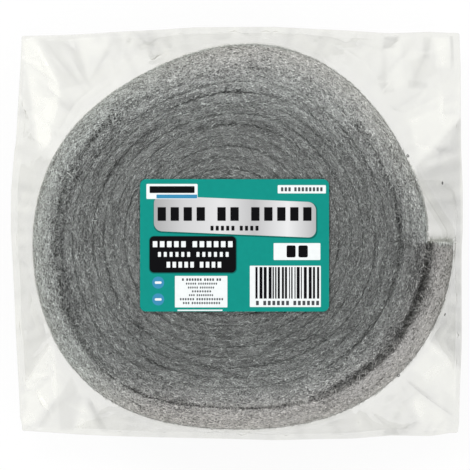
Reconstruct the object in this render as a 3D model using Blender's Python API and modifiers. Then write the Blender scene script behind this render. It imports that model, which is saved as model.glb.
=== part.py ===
"""A roll of steel wool lying on its face in a clear bag, with a printed label on top.

The label faces +Z, its upper edge is towards +Y, and the cut end of the ribbon points to +X.
Sizes are in metres. The origin is in the middle of the bag's underside.
"""

import math

import bpy
import numpy as np

COLLECTION = "steel_wool_bundle"

# The roll: one ribbon wound on edge, with a free tail
ROLL_HEIGHT = 0.100
CORE_RADIUS = 0.0052
TURNS = 15
TURN_PITCH = 0.010
OUTER_PITCH = 0.0222
END_ANGLE = math.radians(-2)
# Reach of the outermost turn at each thirty degrees, counter-clockwise from the cut end
OUTLINE = (0.1716, 0.1668, 0.1676, 0.1612, 0.1535, 0.1591, 0.1642, 0.1710, 0.1732, 0.1668, 0.1787, 0.1928)
STEPS_PER_TURN = 40
# Depth of the groove between turns: inside the roll, and under the outermost turn
GROOVE_DROP = 0.0016
OUTER_GROOVE_DROP = 0.0034
OUTER_GROOVE_START = 0.2
RIM_DROP = 0.0050
TURN_RELIEF = 0.0016
RELIEF_WAVES = (2.37, 0.61)
TAIL_GAP_STEPS = 11
TAIL_GAP = 0.0042
# The tail's inner side falls away towards the gap: width and depth of the slope at the cut end
TAIL_SLOPE = 0.0105
TAIL_DIP = 0.0075
WALL_LEVELS = (0.25, 0.5, 0.75)
WALL_WAVE = 0.0014
WALL_WAVES = 7
WALL_SHIFT = 2.1

# The bag: two clear films joined along a hem that stands out around the roll
FILM = 0.0003
GAP = 0.0003
# How far the hem stands out past the roll towards +X, +Y, -X and -Y
HEM_STANDOFF = (0.0119, 0.0187, 0.0230, 0.0126)
SIDE_BULGE = 0.024
CORNER_POWER = 40
FILM_CLEARANCE = 0.0014
RIM_LOOK = math.radians(3)
RIM_FLAT = 0.0056
HEM_WIDTH = 0.0050
HEM_SLIT = 0.0004
HEM_LEVEL = 0.046
CORNER_DROOP = 0.014
CORNER_SAG = 0.45
CORNER_FOLD = 0.0050
CORNER_FOLDS = 3
CORNER_SPREAD = math.radians(21)
SIDE_RIPPLE = 0.0012
SIDE_RIPPLES = 22
STEPS_PER_SIDE = 22
CORNER_CROWDING = 0.68
FLAT_SHARES = (0.4, 0.8)
UPPER_SHARES = (0.2, 0.4, 0.6, 0.8)
LOWER_SHARES = (0.75, 0.5, 0.25)
# Direction of each vent hole from the roll's axis, and its share of the way from the rim to the hem
VENTS = ((math.radians(13), 0.45), (math.radians(-20), 0.40))
VENT_DIAMETER = 0.0030

# The label: a sheet lying on the upper film
LABEL_SIZE = (0.1612, 0.1130)
LABEL_CENTRE = (-0.0018, -0.0099)
LABEL_THICKNESS = 0.0003
LABEL_CORNER = 0.0052

ROLL_BOTTOM = FILM + GAP
ROLL_TOP = ROLL_BOTTOM + ROLL_HEIGHT
FILM_TOP = ROLL_TOP + GAP

SHARP_ANGLE = math.radians(40)
WOOL_COLOUR = (0.20, 0.205, 0.20, 1)
FILM_COLOUR = (0.86, 0.87, 0.85, 0.3)
LABEL_COLOUR = (0.01, 0.35, 0.29, 1)


def clear_scene():
    for existing in list(bpy.data.objects):
        bpy.data.objects.remove(existing)


def add_collection(name, helper=False):
    collection = bpy.data.collections.new(name)
    collection.hide_render = helper
    bpy.context.scene.collection.children.link(collection)
    return collection


def add_material(name, colour, roughness, metallic):
    material = bpy.data.materials.new(name)
    material.use_nodes = True
    surface = material.node_tree.nodes["Principled BSDF"]
    surface.inputs["Base Color"].default_value = colour
    surface.inputs["Alpha"].default_value = colour[3]
    surface.inputs["Roughness"].default_value = roughness
    surface.inputs["Metallic"].default_value = metallic
    return material


def add_object(collection, name, points, faces, material):
    mesh = bpy.data.meshes.new(name)
    mesh.from_pydata([tuple(point) for point in points], [], faces)
    mesh.update()
    mesh.shade_smooth()
    mesh.set_sharp_from_angle(angle=SHARP_ANGLE)
    mesh.materials.append(material)
    made = bpy.data.objects.new(name, mesh)
    collection.objects.link(made)
    return made


def spiral_base(turn):
    """Radius of the line under a turn, before the roll is pressed out of round."""
    return CORE_RADIUS + TURN_PITCH * turn + (OUTER_PITCH - TURN_PITCH) * np.maximum(0, turn - TURNS + 1)


def out_of_round(turn):
    """Share by which the roll's outline differs from the plain spiral, as a smooth closed curve."""
    count = len(OUTLINE)
    shares = np.array(OUTLINE) / spiral_base(TURNS + np.arange(count) / count)
    waves = np.fft.rfft(shares) / count
    order = np.arange(len(waves))
    weight = np.where((order == 0) | (order == count // 2), 1, 2)
    phase = 2 * np.pi * np.multiply.outer(np.asarray(turn, float), order)
    return (weight * (waves.real * np.cos(phase) - waves.imag * np.sin(phase))).sum(axis=-1)


def spiral_radius(turn):
    """Radius of the line between turns, round at the core and pressed out of round outside."""
    base = spiral_base(turn)
    pressed = np.minimum(1, base / spiral_base(TURNS))
    return base * (1 + (out_of_round(turn) - 1) * pressed)


def roll_reach():
    """How far the roll reaches from its axis towards +X, +Y, -X and -Y."""
    turn = TURNS + np.arange(STEPS_PER_TURN + 1) / STEPS_PER_TURN
    angle = END_ANGLE + 2 * np.pi * turn
    x = spiral_radius(turn) * np.cos(angle)
    y = spiral_radius(turn) * np.sin(angle)
    return x.max(), y.max(), -x.min(), -y.min()


EAST, NORTH, WEST, SOUTH = (reach + stand for reach, stand in zip(roll_reach(), HEM_STANDOFF))
ROLL_AXIS = ((WEST - EAST) / 2, (SOUTH - NORTH) / 2)


def around_axis(radius, angle):
    """The x and y of points at a radius and angle from the roll's axis."""
    return np.stack([ROLL_AXIS[0] + radius * np.cos(angle), ROLL_AXIS[1] + radius * np.sin(angle)], axis=-1)


def roll_plate():
    """One face of the roll: x, y and the depth below its highest level, as groove, shoulder and tail rows.

    The groove row runs one turn further than the ribbon and is the roll's outline there.
    """
    steps = TURNS * STEPS_PER_TURN
    turn = np.arange(steps + STEPS_PER_TURN + 1) / STEPS_PER_TURN
    angle = END_ANGLE + 2 * np.pi * turn
    edge = spiral_radius(turn)
    last = TURNS - 1
    places_of_drop = (last - OUTER_GROOVE_START, last, TURNS - TAIL_GAP_STEPS / STEPS_PER_TURN, TURNS)
    drop = np.interp(turn, places_of_drop, (GROOVE_DROP, OUTER_GROOVE_DROP, OUTER_GROOVE_DROP, RIM_DROP))
    waves = np.sin(2 * np.pi * np.multiply.outer(turn, RELIEF_WAVES)).mean(axis=1)
    relief = TURN_RELIEF * (1 + waves) / 2

    ribbon = slice(0, steps + 1)
    outer = slice(STEPS_PER_TURN, steps + STEPS_PER_TURN + 1)
    opened = np.zeros(steps + 1)
    opened[-TAIL_GAP_STEPS:] = np.arange(1, TAIL_GAP_STEPS + 1) / TAIL_GAP_STEPS
    inner_edge = edge[ribbon] + TAIL_GAP * np.sqrt(opened)
    slope = drop[ribbon] + (TAIL_SLOPE - drop[ribbon]) * opened
    dip = drop[ribbon] + (TAIL_DIP - drop[ribbon]) * opened
    tail = slice(steps + 1 - TAIL_GAP_STEPS, steps + 1)
    rows = (
        (edge, angle, drop + relief),
        (inner_edge + slope, angle[ribbon], relief[ribbon]),
        (edge[outer] - drop[outer], angle[ribbon], relief[ribbon]),
        (inner_edge[tail], angle[tail], dip[tail] + relief[tail]),
    )
    places = np.concatenate([around_axis(radius, row_angle) for radius, row_angle, _ in rows])
    depths = np.concatenate([depth for _, _, depth in rows])
    starts = np.cumsum([0] + [len(depth) for _, _, depth in rows])
    return places, depths, starts


def roll_paths(starts):
    """Rows of point numbers: inner edge, both shoulders and outer edge of the ribbon, then the two loops of wall."""
    steps = TURNS * STEPS_PER_TURN
    first_tail = steps + 1 - TAIL_GAP_STEPS
    station = np.arange(steps + 1)
    inner = np.where(station < first_tail, station, starts[3] + station - first_tail)
    shoulders = (starts[1] + station, starts[2] + station)
    outer = station + STEPS_PER_TURN

    across_end = [shoulders[1][-1], shoulders[0][-1]]
    outline = np.arange(steps, steps + STEPS_PER_TURN + 1)
    tail_inside = inner[: first_tail - 2 : -1]
    under_tail = np.arange(first_tail, steps)
    wall = np.concatenate([outline, across_end, tail_inside, under_tail])

    across_start = [shoulders[0][0], shoulders[1][0]]
    core = np.concatenate([[0], across_start, np.arange(STEPS_PER_TURN, 0, -1)])
    return (inner, *shoulders, outer), wall, core


def strips(first, second, closed=False):
    """Four-cornered faces between two rows of point numbers."""
    rows = np.stack([first, second])
    if closed:
        rows = np.concatenate([rows, rows[:, :1]], axis=1)
    return np.stack([rows[0, :-1], rows[1, :-1], rows[1, 1:], rows[0, 1:]], axis=1).tolist()


def make_roll(collection):
    """The roll is lofted by hand, because the ribbon's section changes all along the spiral."""
    places, depths, starts = roll_plate()
    across, wall, core = roll_paths(starts)
    count = len(places)
    upper = np.column_stack([places, ROLL_TOP - depths])
    lower = np.column_stack([places, ROLL_BOTTOM + depths])
    points = [upper, lower]
    faces = []
    for first, second in zip(across[:-1], across[1:]):
        faces += strips(first, second)
        faces += strips(second + count, first + count)

    above = wall
    total = 2 * count
    for number, share in enumerate(WALL_LEVELS):
        ring = upper[wall] * (1 - share) + lower[wall] * share
        away = ring[:, :2] - ROLL_AXIS
        distance = np.linalg.norm(away, axis=1)
        angle = np.arctan2(away[:, 1], away[:, 0])
        squeeze = WALL_WAVE * (1 + np.sin(WALL_WAVES * angle + WALL_SHIFT * number)) / 2
        ring[:, :2] -= away * (squeeze / distance)[:, None]
        points.append(ring)
        below = total + np.arange(len(wall))
        faces += strips(above, below, closed=True)
        above = below
        total += len(wall)
    faces += strips(above, wall + count, closed=True)
    faces += strips(core, core + count, closed=True)
    material = add_material("wool", WOOL_COLOUR, roughness=0.6, metallic=1)
    return add_object(collection, "wool_roll", np.concatenate(points), faces, material)


def roll_hull(angle):
    """Radius of a tight string around the roll, which bridges the hollow beside the cut end."""
    turn = TURNS + np.arange(4 * STEPS_PER_TURN + 1) / (4 * STEPS_PER_TURN)
    radius = spiral_radius(turn)
    facing = np.linspace(-np.pi, np.pi, 721)
    support = (radius * np.cos(facing[:, None] - END_ANGLE - 2 * np.pi * turn)).max(axis=1)
    slant = np.maximum(np.cos(np.asarray(angle)[:, None] - facing), 1e-6)
    return (support / slant).min(axis=1)


def corner_angles():
    """Directions of the bag's corners from the roll's axis, counter-clockwise from the first."""
    corners = np.array([(EAST, NORTH), (-WEST, NORTH), (-WEST, -SOUTH), (EAST, -SOUTH)])
    return np.arctan2(corners[:, 1], corners[:, 0]) % (2 * np.pi)


def bag_angles():
    """Stations around the bag, closest together at its corners."""
    corners = corner_angles()
    spans = np.diff(np.append(corners, corners[0] + 2 * np.pi))
    share = np.arange(STEPS_PER_SIDE) / STEPS_PER_SIDE
    share = share - CORNER_CROWDING / (2 * np.pi) * np.sin(2 * np.pi * share)
    return (corners[:, None] + spans[:, None] * share).ravel()


def nearness_to_corner(angle):
    """One at a corner, nought from the corner's spread on, and the signed angle from the nearest corner."""
    turned = np.asarray(angle)[:, None] - corner_angles()
    turned = (turned + np.pi) % (2 * np.pi) - np.pi
    nearest = np.take_along_axis(turned, np.abs(turned).argmin(axis=1)[:, None], axis=1)[:, 0]
    near = np.clip(1 - np.abs(nearest) / CORNER_SPREAD, 0, 1)
    return near * near * (3 - 2 * near), nearest


def hem_radius(angle):
    """Radius of a square with round corners and gently swelling sides, measured from the roll's axis."""
    east, north = np.cos(angle), np.sin(angle)
    across = np.abs(east) / np.where(east > 0, EAST, WEST)
    along = np.abs(north) / np.where(north > 0, NORTH, SOUTH)
    radius = (across**CORNER_POWER + along**CORNER_POWER) ** (-1 / CORNER_POWER)
    swell = np.abs(across**4 - along**4) / (across**4 + along**4)
    return radius * (1 - SIDE_BULGE * (1 - swell))


def rim_radius(angle):
    """Radius of the film around the roll, wide enough for straight runs between stations to clear the cut end."""
    return np.max([roll_hull(angle + look) for look in (-RIM_LOOK, 0, RIM_LOOK)], axis=0) + FILM_CLEARANCE


def bag_rings(angle):
    """Radius and height of the bag's inner surface at each station, from the top's middle to the underside's."""
    near, turned = nearness_to_corner(angle)
    rim = rim_radius(angle)
    hem = hem_radius(angle)
    hem_inside = hem - HEM_WIDTH
    level = HEM_LEVEL - CORNER_DROOP * near
    start = FILM_TOP - RIM_DROP
    rings = [(share * rim, FILM_TOP) for share in FLAT_SHARES]
    rings += [(rim - RIM_FLAT, FILM_TOP), (rim - RIM_FLAT / 3, FILM_TOP - RIM_DROP / 4), (rim, start)]
    fold = CORNER_FOLD * near * np.cos(np.pi * CORNER_FOLDS * turned / CORNER_SPREAD)
    ripple = SIDE_RIPPLE * (1 - near) * np.sin(SIDE_RIPPLES * angle)
    for share in UPPER_SHARES:
        swell = 4 * share * (1 - share)
        fall = share ** (1 - CORNER_SAG * near)
        rings.append((rim + (hem_inside - rim) * share + ripple * swell, start + (level - start) * fall + fold * swell))
    rings += [(hem_inside, level + HEM_SLIT / 2), (hem, level + HEM_SLIT / 2)]
    rings += [(hem, level - HEM_SLIT / 2), (hem_inside, level - HEM_SLIT / 2)]
    low = FILM + RIM_DROP
    for share in LOWER_SHARES:
        swell = 4 * share * (1 - share)
        rise = share ** (1 + CORNER_SAG * near)
        rings.append((rim + (hem_inside - rim) * share + ripple * swell, low + (level - low) * rise))
    rings += [(rim, low), (rim - RIM_FLAT / 3, FILM + RIM_DROP / 4), (rim - RIM_FLAT, FILM)]
    rings += [(share * rim, FILM) for share in reversed(FLAT_SHARES)]
    return rings


def make_vent(collection, number, angle, share):
    """A cutter through the upper film only, from just above the hem to above the roll's top."""
    low = HEM_LEVEL + VENT_DIAMETER
    high = FILM_TOP + VENT_DIAMETER
    way = np.array([angle])
    rim, hem = rim_radius(way), hem_radius(way) - HEM_WIDTH
    place = around_axis(rim + (hem - rim) * share, way)[0]
    bpy.ops.mesh.primitive_cylinder_add(
        vertices=12,
        radius=VENT_DIAMETER / 2,
        depth=high - low,
        location=(*place, (low + high) / 2),
    )
    cutter = bpy.context.object
    cutter.name = f"vent_cutter_{number}"
    for owner in list(cutter.users_collection):
        owner.objects.unlink(cutter)
    collection.objects.link(cutter)
    cutter.display_type = "WIRE"
    cutter.hide_render = True
    return cutter


def make_bag(collection, cutters):
    """The bag is lofted by hand from the roll's outline to the square hem, and thickened outwards."""
    angle = bag_angles()
    rings = bag_rings(angle)
    count = len(angle)
    surface = [np.array([[*ROLL_AXIS, FILM_TOP], [*ROLL_AXIS, FILM]])]
    for radius, height in rings:
        surface.append(np.column_stack([around_axis(radius, angle), np.broadcast_to(height, count)]))
    numbers = 2 + np.arange(count * len(rings)).reshape(len(rings), count)
    faces = []
    for upper, lower in zip(numbers[:-1], numbers[1:]):
        faces += strips(upper, lower, closed=True)
    following = np.roll(np.arange(count), -1)
    faces += [(0, int(a), int(b)) for a, b in zip(numbers[0], numbers[0][following])]
    faces += [(1, int(b), int(a)) for a, b in zip(numbers[-1], numbers[-1][following])]
    material = add_material("film", FILM_COLOUR, roughness=0.2, metallic=0)
    bag = add_object(collection, "bag", np.concatenate(surface), faces, material)

    thicken = bag.modifiers.new("film", "SOLIDIFY")
    thicken.thickness = FILM
    thicken.offset = 1
    thicken.use_even_offset = True
    for number, (way, share) in enumerate(VENTS, start=1):
        cut = bag.modifiers.new(f"vent_{number}", "BOOLEAN")
        cut.solver = "EXACT"
        cut.operation = "DIFFERENCE"
        cut.object = make_vent(cutters, number, way, share)
    return bag


def make_label(collection):
    bpy.ops.mesh.primitive_cube_add(size=1)
    label = bpy.context.object
    label.name = "label"
    label.data.name = "label"
    label.data.materials.append(add_material("label", LABEL_COLOUR, roughness=0.4, metallic=0))
    for owner in list(label.users_collection):
        owner.objects.unlink(label)
    collection.objects.link(label)
    label.scale = (*LABEL_SIZE, LABEL_THICKNESS)
    bpy.ops.object.transform_apply(location=False, rotation=False, scale=True)
    label.location = (*LABEL_CENTRE, FILM_TOP + FILM + GAP + LABEL_THICKNESS / 2)
    upright = label.data.attributes.new("bevel_weight_edge", "FLOAT", "EDGE")
    for edge in label.data.edges:
        first, second = (label.data.vertices[number].co for number in edge.vertices)
        upright.data[edge.index].value = float(abs(first.z - second.z) > LABEL_THICKNESS / 2)
    corners = label.modifiers.new("corners", "BEVEL")
    corners.limit_method = "WEIGHT"
    corners.width = LABEL_CORNER
    corners.segments = 6
    return label


def main():
    clear_scene()
    collection = add_collection(COLLECTION)
    cutters = add_collection("cutters", helper=True)
    make_roll(collection)
    make_bag(collection, cutters)
    make_label(collection)


main()
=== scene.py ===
import math

import bpy
import numpy as np
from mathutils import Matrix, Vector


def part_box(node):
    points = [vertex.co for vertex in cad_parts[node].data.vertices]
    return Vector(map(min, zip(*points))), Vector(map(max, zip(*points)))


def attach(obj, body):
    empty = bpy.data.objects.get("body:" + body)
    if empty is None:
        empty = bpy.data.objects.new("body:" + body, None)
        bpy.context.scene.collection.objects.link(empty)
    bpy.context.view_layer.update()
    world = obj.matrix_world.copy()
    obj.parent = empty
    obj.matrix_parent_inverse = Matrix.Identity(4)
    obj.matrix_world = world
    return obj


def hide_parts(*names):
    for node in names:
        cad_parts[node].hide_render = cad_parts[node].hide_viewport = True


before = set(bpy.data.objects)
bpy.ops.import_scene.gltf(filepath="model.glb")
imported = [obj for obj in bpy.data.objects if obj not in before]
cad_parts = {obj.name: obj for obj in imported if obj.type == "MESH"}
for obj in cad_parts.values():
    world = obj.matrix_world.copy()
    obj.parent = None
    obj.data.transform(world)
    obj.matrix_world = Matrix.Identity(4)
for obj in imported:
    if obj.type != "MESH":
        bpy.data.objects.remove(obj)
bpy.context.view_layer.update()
print("frame loaded")

# Photo frame: 470 pixels a side, and its scale on the roll's upper face
photo = {
    "pixels": 470,
    "metresPerPixel": 0.000853,
    "distance": 2.5,
    "eyeX": -0.0014,
    "eyeY": -0.0011,
    "sensorMm": 36,
    "hemScale": 1.02,  # pixels at the hem's level, against those on the roll's upper face
}
hemPixel = photo["metresPerPixel"] * photo["hemScale"]

# The wound ribbon, with the sizes of the solid that it stands for
roll = {
    "coreRadius": 0.0052,
    "turns": 15,
    "turnPitch": 0.010,
    "outerPitch": 0.0222,
    "endAngle": math.radians(-2),
    "outline": (
        0.1716, 0.1668, 0.1676, 0.1612, 0.1535, 0.1591, 0.1642, 0.1710, 0.1732, 0.1668, 0.1787, 0.1928,
    ),
    "grooveDrop": 0.0016,
    "outerGrooveDrop": 0.0034,
    "outerGrooveStart": 0.2,
    "rimDrop": 0.0050,
    "relief": 0.0016,
    "reliefWaves": (2.37, 0.61),
    "tailTurns": 0.275,
    "tailGap": 0.0042,
    "tailSlope": 0.0105,
    "tailDip": 0.0075,
    "wallWave": 0.0014,
    "wallWaves": 7,
    "wallShift": 2.1,
    "wallLevels": 3,
    "stepsPerTurn": 216,
    "shoulderReach": 1.25,
    "besideTail": 0.005,
    "across": (0, 0.05, 0.12, 0.22, 0.36, 0.5, 0.64, 0.78, 0.88, 0.95, 1),
    "wallRings": 22,
    "wallRipple": 0.0004,
    "rippleStretch": (0.16, 0.25),
    "rippleWaves": (10, 0.12, 0.02),
    "cleftDepth": 0.0024,
    "cleftWidth": 0.0020,
    "cleftFloor": (0.02, 0.10),
    "cleftWaves": ((1.31, 0.4), (3.7, 0), (7.9, 2)),
    "strongShare": 0.8,
    "outerUneven": (0.12, 8.3),
    "beads": (0.62, 0.55, 23.3, 37.1),
    "outerBeads": 0.75,
    "faintLines": (0.34, 0.67),
    "faintWander": 0.07,
    "lineDepth": 0.0005,
    "lineWidth": 0.0009,
    "lumps": 0.0003,
    "lumpWaves": (9, 0.09, 0.02),
    "underFibres": 0.0005,
    "seed": 5,
}
wound = roll["turns"]
# Lines between turns that stand out in the photo: turn in the middle, turns to either side, strength
strongClefts = (
    (11.42, 0.10, 0.8),
    (12.26, 0.09, 0.7),
    (12.68, 0.06, 0.6),
    (13.40, 0.08, 0.6),
    (13.12, 0.05, 0.5),
    (12.93, 0.07, 0.5),
    (10.55, 0.08, 0.5),
    (9.2, 0.10, 0.5),
    (11.75, 0.06, 0.4),
)

# How open the line under the outermost turn is, by the share of that turn from its start at the right
outerCleft = (
    (-0.15, 0.2), (0.0, 0.4), (0.10, 0.3), (0.17, 0.05), (0.33, 0.1), (0.38, 1.0), (0.60, 1.1), (0.66, 0.2),
    (1, 0.3),
)

# How much lighter the roll is at its outer edge, by the share of a turn from the ribbon's end: added share of
# lightness there, and millimetres inwards over which it fades
edgeLight = (
    (0.0, 0.75, 11), (0.06, 1.0, 20), (0.12, 1.5, 30), (0.19, 1.75, 38), (0.25, 1.55, 39), (0.31, 1.15, 30),
    (0.38, 1.15, 22), (0.44, 1.1, 20), (0.5, 1.07, 17), (0.56, 1.0, 16), (0.62, 1.1, 16), (0.69, 1.43, 25),
    (0.75, 1.45, 32), (0.81, 1.47, 33), (0.88, 1.3, 34), (0.94, 1.25, 31), (1.0, 0.75, 17),
)
# How the face is shaded: painted shade along open lines and by the tail, painted light along closed lines,
# the lightness of it all, and its tint
shading = {
    "lineFade": 0.0026,
    "closedLinePaintedLight": 0.1,
    "openLinePaintedShade": 0.38,
    "tailFootShade": (0.08, 0.003, 0.004),
    "tailEdgeShade": (0.22, 0.005),
    "tailShadow": (0.24, 0.0065, 0.002),
    "gain": 0.705,
    "darkerPlaces": (0, 0.12, 0.3, 0.55, 0.68, 0.85, 1),
    "darker": (0.08, 0.06, 0, 0, 0.11, 0.11, 0.08),
    "warmPlaces": (0, 0.1, 0.25, 0.38, 0.62, 0.7, 1),
    "warm": (0.1, 0.5, 0.8, 0, 0, 1.2, 1.2),
    "warmReach": 0.028,
}
# Painted shade lines on the face, dark lines that stand for the shade in grooves: the share of a turn over
# which each comes and goes, its depth from the outline, its width and its strength
paintedShadeLines = (
    ((0.62, 0.68, 0.82, 0.86), 0.0180, 0.0011, 0.6),
    ((0.40, 0.45, 0.56, 0.62), 0.0250, 0.0022, 0.22),
    ((0.83, 0.87, 0.96, 0.99), 0.0235, 0.0024, 0.3),
)

# The bag's sides in the photo: pixel along the side, and pixels that the side lies inside its furthest reach
hemInsets = {
    "left": (
        (36, 9.5), (70, 8), (110, 6.2), (140, 5), (150, 3.4), (190, 0.4), (230, 0), (270, 2),
        (310, 4), (390, 7), (425, 8), (436, 10),
    ),
    "right": (
        (36, 2), (50, 1.4), (70, 1), (130, 1.6), (150, 1.6), (190, 0), (230, 0), (250, 1), (350, 1), (390, 2),
        (425, 2.4), (436, 3.5),
    ),
    "top": (
        (20, 8), (75, 7), (115, 5), (155, 3), (195, 0.6), (275, 0), (315, 2), (355, 4),
        (395, 6), (435, 4), (458, 5),
    ),
    "bottom": (
        (20, 8), (75, 5), (115, 4), (155, 3), (195, 2), (275, 0), (315, 1), (355, 1.5),
        (395, 4), (435, 3), (458, 6),
    ),
}

rollLow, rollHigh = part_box("wool_roll")
bagLow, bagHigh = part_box("bag")
labelLow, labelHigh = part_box("label")


def emptyMaterial(name):
    material = bpy.data.materials.new(name)
    material.use_nodes = True
    material.node_tree.nodes.clear()
    return material, material.node_tree


# Sets a node's inputs, each to a plain value or to another node's output
def wire(tree, node, inputs):
    for name, value in inputs.items():
        if isinstance(value, bpy.types.NodeSocket):
            tree.links.new(value, node.inputs[name])
        else:
            node.inputs[name].default_value = value
    return node


def addNode(tree, kind, inputs):
    return wire(tree, tree.nodes.new("ShaderNode" + kind), inputs)


def calculated(tree, operation, *values):
    step = tree.nodes.new("ShaderNodeMath")
    step.operation = operation
    return wire(tree, step, dict(enumerate(values))).outputs["Value"]


# A value that the mesh's points carry
def carried(tree, name):
    attribute = tree.nodes.new("ShaderNodeAttribute")
    attribute.attribute_name = name
    return attribute.outputs["Fac"]


def mixedColour(tree, share, first, second, blend="MIX"):
    mix = tree.nodes.new("ShaderNodeMix")
    mix.data_type, mix.blend_type = "RGBA", blend
    return wire(tree, mix, {"Factor": share, "A": first, "B": second}).outputs["Result"]


def objectPlace(tree):
    return addNode(tree, "TexCoord", {}).outputs["Object"]


def noiseValue(tree, place, scale, detail, roughness=0.5):
    inputs = {"Vector": place, "Scale": scale, "Detail": detail, "Roughness": roughness}
    return addNode(tree, "TexNoise", inputs).outputs["Fac"]


# A value moved from one range to another
def ranged(tree, value, low, high, newLow=0, newHigh=1):
    inputs = {"Value": value, "From Min": low, "From Max": high, "To Min": newLow, "To Max": newHigh}
    return addNode(tree, "MapRange", inputs).outputs["Result"]


# Colours along a value from nought to one: the first stop lies at nought and the last at one
def rampColour(tree, value, stops):
    ramp = addNode(tree, "ValToRGB", {"Fac": value})
    for position, _ in stops[1:-1]:
        ramp.color_ramp.elements.new(position)
    for element, (_, colour) in zip(ramp.color_ramp.elements, stops):
        element.color = (*colour, 1)
    return ramp.outputs["Color"]


def bumped(tree, height, strength, distance):
    inputs = {"Height": height, "Strength": strength, "Distance": distance}
    return addNode(tree, "Bump", inputs).outputs["Normal"]


def glossy(tree, inputs):
    return addNode(tree, "BsdfPrincipled", inputs).outputs["BSDF"]


def mixedShaders(tree, share, first, second):
    return addNode(tree, "MixShader", {"Fac": share, 1: first, 2: second}).outputs["Shader"]


# The material with a shader as its surface
def surfaced(material, shader):
    addNode(material.node_tree, "OutputMaterial", {"Surface": shader})
    return material


def addObject(name, data):
    made = bpy.data.objects.new(name, data)
    bpy.context.scene.collection.objects.link(made)
    return made


# A mesh object from an array of points and arrays of faces with three or four corners
def addMesh(name, points, faceSets, material, smooth=True):
    mesh = bpy.data.meshes.new(name)
    points = np.asarray(points, np.float32)
    corners = np.concatenate([np.asarray(faces).ravel() for faces in faceSets]).astype(np.int32)
    sides = np.concatenate([np.full(len(faces), np.shape(faces)[1]) for faces in faceSets]).astype(np.int32)
    mesh.vertices.add(len(points))
    mesh.vertices.foreach_set("co", points.ravel())
    mesh.loops.add(len(corners))
    mesh.loops.foreach_set("vertex_index", corners)
    mesh.polygons.add(len(sides))
    mesh.polygons.foreach_set("loop_start", np.concatenate([[0], np.cumsum(sides)[:-1]]).astype(np.int32))
    mesh.polygons.foreach_set("use_smooth", np.full(len(sides), smooth))
    mesh.update(calc_edges=True)
    mesh.validate()
    mesh.materials.append(material)
    return addObject(name, mesh)


def addPointValues(piece, name, values):
    attribute = piece.data.attributes.new(name, "FLOAT", "POINT")
    attribute.data.foreach_set("value", np.asarray(values, np.float32))


# Four-cornered faces between neighbouring rows of point numbers, joined round when closed
def gridFaces(rows, closed=False):
    rows = np.asarray(rows)
    if closed:
        rows = np.concatenate([rows, rows[:, :1]], axis=1)
    corners = (rows[:-1, :-1], rows[1:, :-1], rows[1:, 1:], rows[:-1, 1:])
    return np.stack(corners, axis=-1).reshape(-1, 4)


# Smooth unevenness between about -1 and 1: a sum of sine waves in seeded directions and lengths
def waveSum(places, count, longest, shortest, seed):
    random = np.random.default_rng(seed)
    length = np.geomspace(longest, shortest, count)
    heading = random.uniform(0, 2 * np.pi, count)
    phase = random.uniform(0, 2 * np.pi, count)
    total = np.zeros(places.shape[:-1])
    for size, turn, start in zip(length, heading, phase):
        way = places[..., 0] * math.cos(turn) + places[..., 1] * math.sin(turn)
        total += np.sin(2 * np.pi * way / size + start)
    return total / math.sqrt(count)


# The spiral, in turns counted from the core
def spiralBase(turn):
    wider = (roll["outerPitch"] - roll["turnPitch"]) * np.maximum(0, turn - wound + 1)
    return roll["coreRadius"] + roll["turnPitch"] * turn + wider


# Smooth closed curve through the outline's reaches, as a share of the plain spiral
def outOfRound(turn):
    count = len(roll["outline"])
    shares = np.array(roll["outline"]) / spiralBase(wound + np.arange(count) / count)
    waves = np.fft.rfft(shares) / count
    order = np.arange(len(waves))
    weight = np.where((order == 0) | (order == count // 2), 1, 2)
    total = np.zeros(np.shape(turn))
    for number in order:
        phase = 2 * np.pi * number * turn
        wave = waves[number]
        total = total + weight[number] * (wave.real * np.cos(phase) - wave.imag * np.sin(phase))
    return total


# Radius of the line between turns: the plain spiral, pressed out of round more towards the outside
def spiralRadius(turn):
    turn = np.asarray(turn, float)
    base = spiralBase(turn)
    pressed = np.minimum(1, base / spiralBase(wound))
    return base * (1 + (outOfRound(turn) - 1) * pressed)


def spiralAngle(turn):
    return roll["endAngle"] + 2 * np.pi * np.asarray(turn, float)


outlineTurn = wound + np.linspace(0, 1, 721)
rollAxis = np.array([
    rollLow.x + (-spiralRadius(outlineTurn) * np.cos(spiralAngle(outlineTurn))).max(),
    rollLow.y + (-spiralRadius(outlineTurn) * np.sin(spiralAngle(outlineTurn))).max(),
])


# Points in space from a radius and angle about the roll's axis and a height
def polarPoints(radius, angle, height):
    x = rollAxis[0] + radius * np.cos(angle)
    y = rollAxis[1] + radius * np.sin(angle)
    return np.stack(np.broadcast_arrays(x, y, height), axis=-1)


# Nought along the body and one at the cut end, over the length of the tail that stands off
def tailShare(turn):
    return np.clip((np.asarray(turn, float) - wound + roll["tailTurns"]) / roll["tailTurns"], 0, 1)


# Width of the wedge between the tail and the body: nothing, then opening towards the cut end
def tailOpening(turn):
    return roll["tailGap"] * np.sqrt(tailShare(turn))


# Depth, and width to either side, of the groove along a line: slight inside, deeper under the outermost turn
def grooveDrop(turn):
    last = wound - 1
    knots = (last - roll["outerGrooveStart"], last, wound - roll["tailTurns"], wound)
    drops = (roll["grooveDrop"], roll["outerGrooveDrop"], roll["outerGrooveDrop"], roll["rimDrop"])
    return np.interp(turn, knots, drops)


# Unevenness of the turns' height along the ribbon: two sine waves, from nothing to the full relief
def reliefDepth(turn):
    waves = sum(np.sin(2 * np.pi * turn * wave) for wave in roll["reliefWaves"]) / len(roll["reliefWaves"])
    return roll["relief"] * (1 + waves) / 2


# Sine wave along the ribbon, with its number of waves a turn and its start
def turnWave(turn, pace, start=0):
    return np.sin(2 * np.pi * pace * turn + start)


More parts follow.
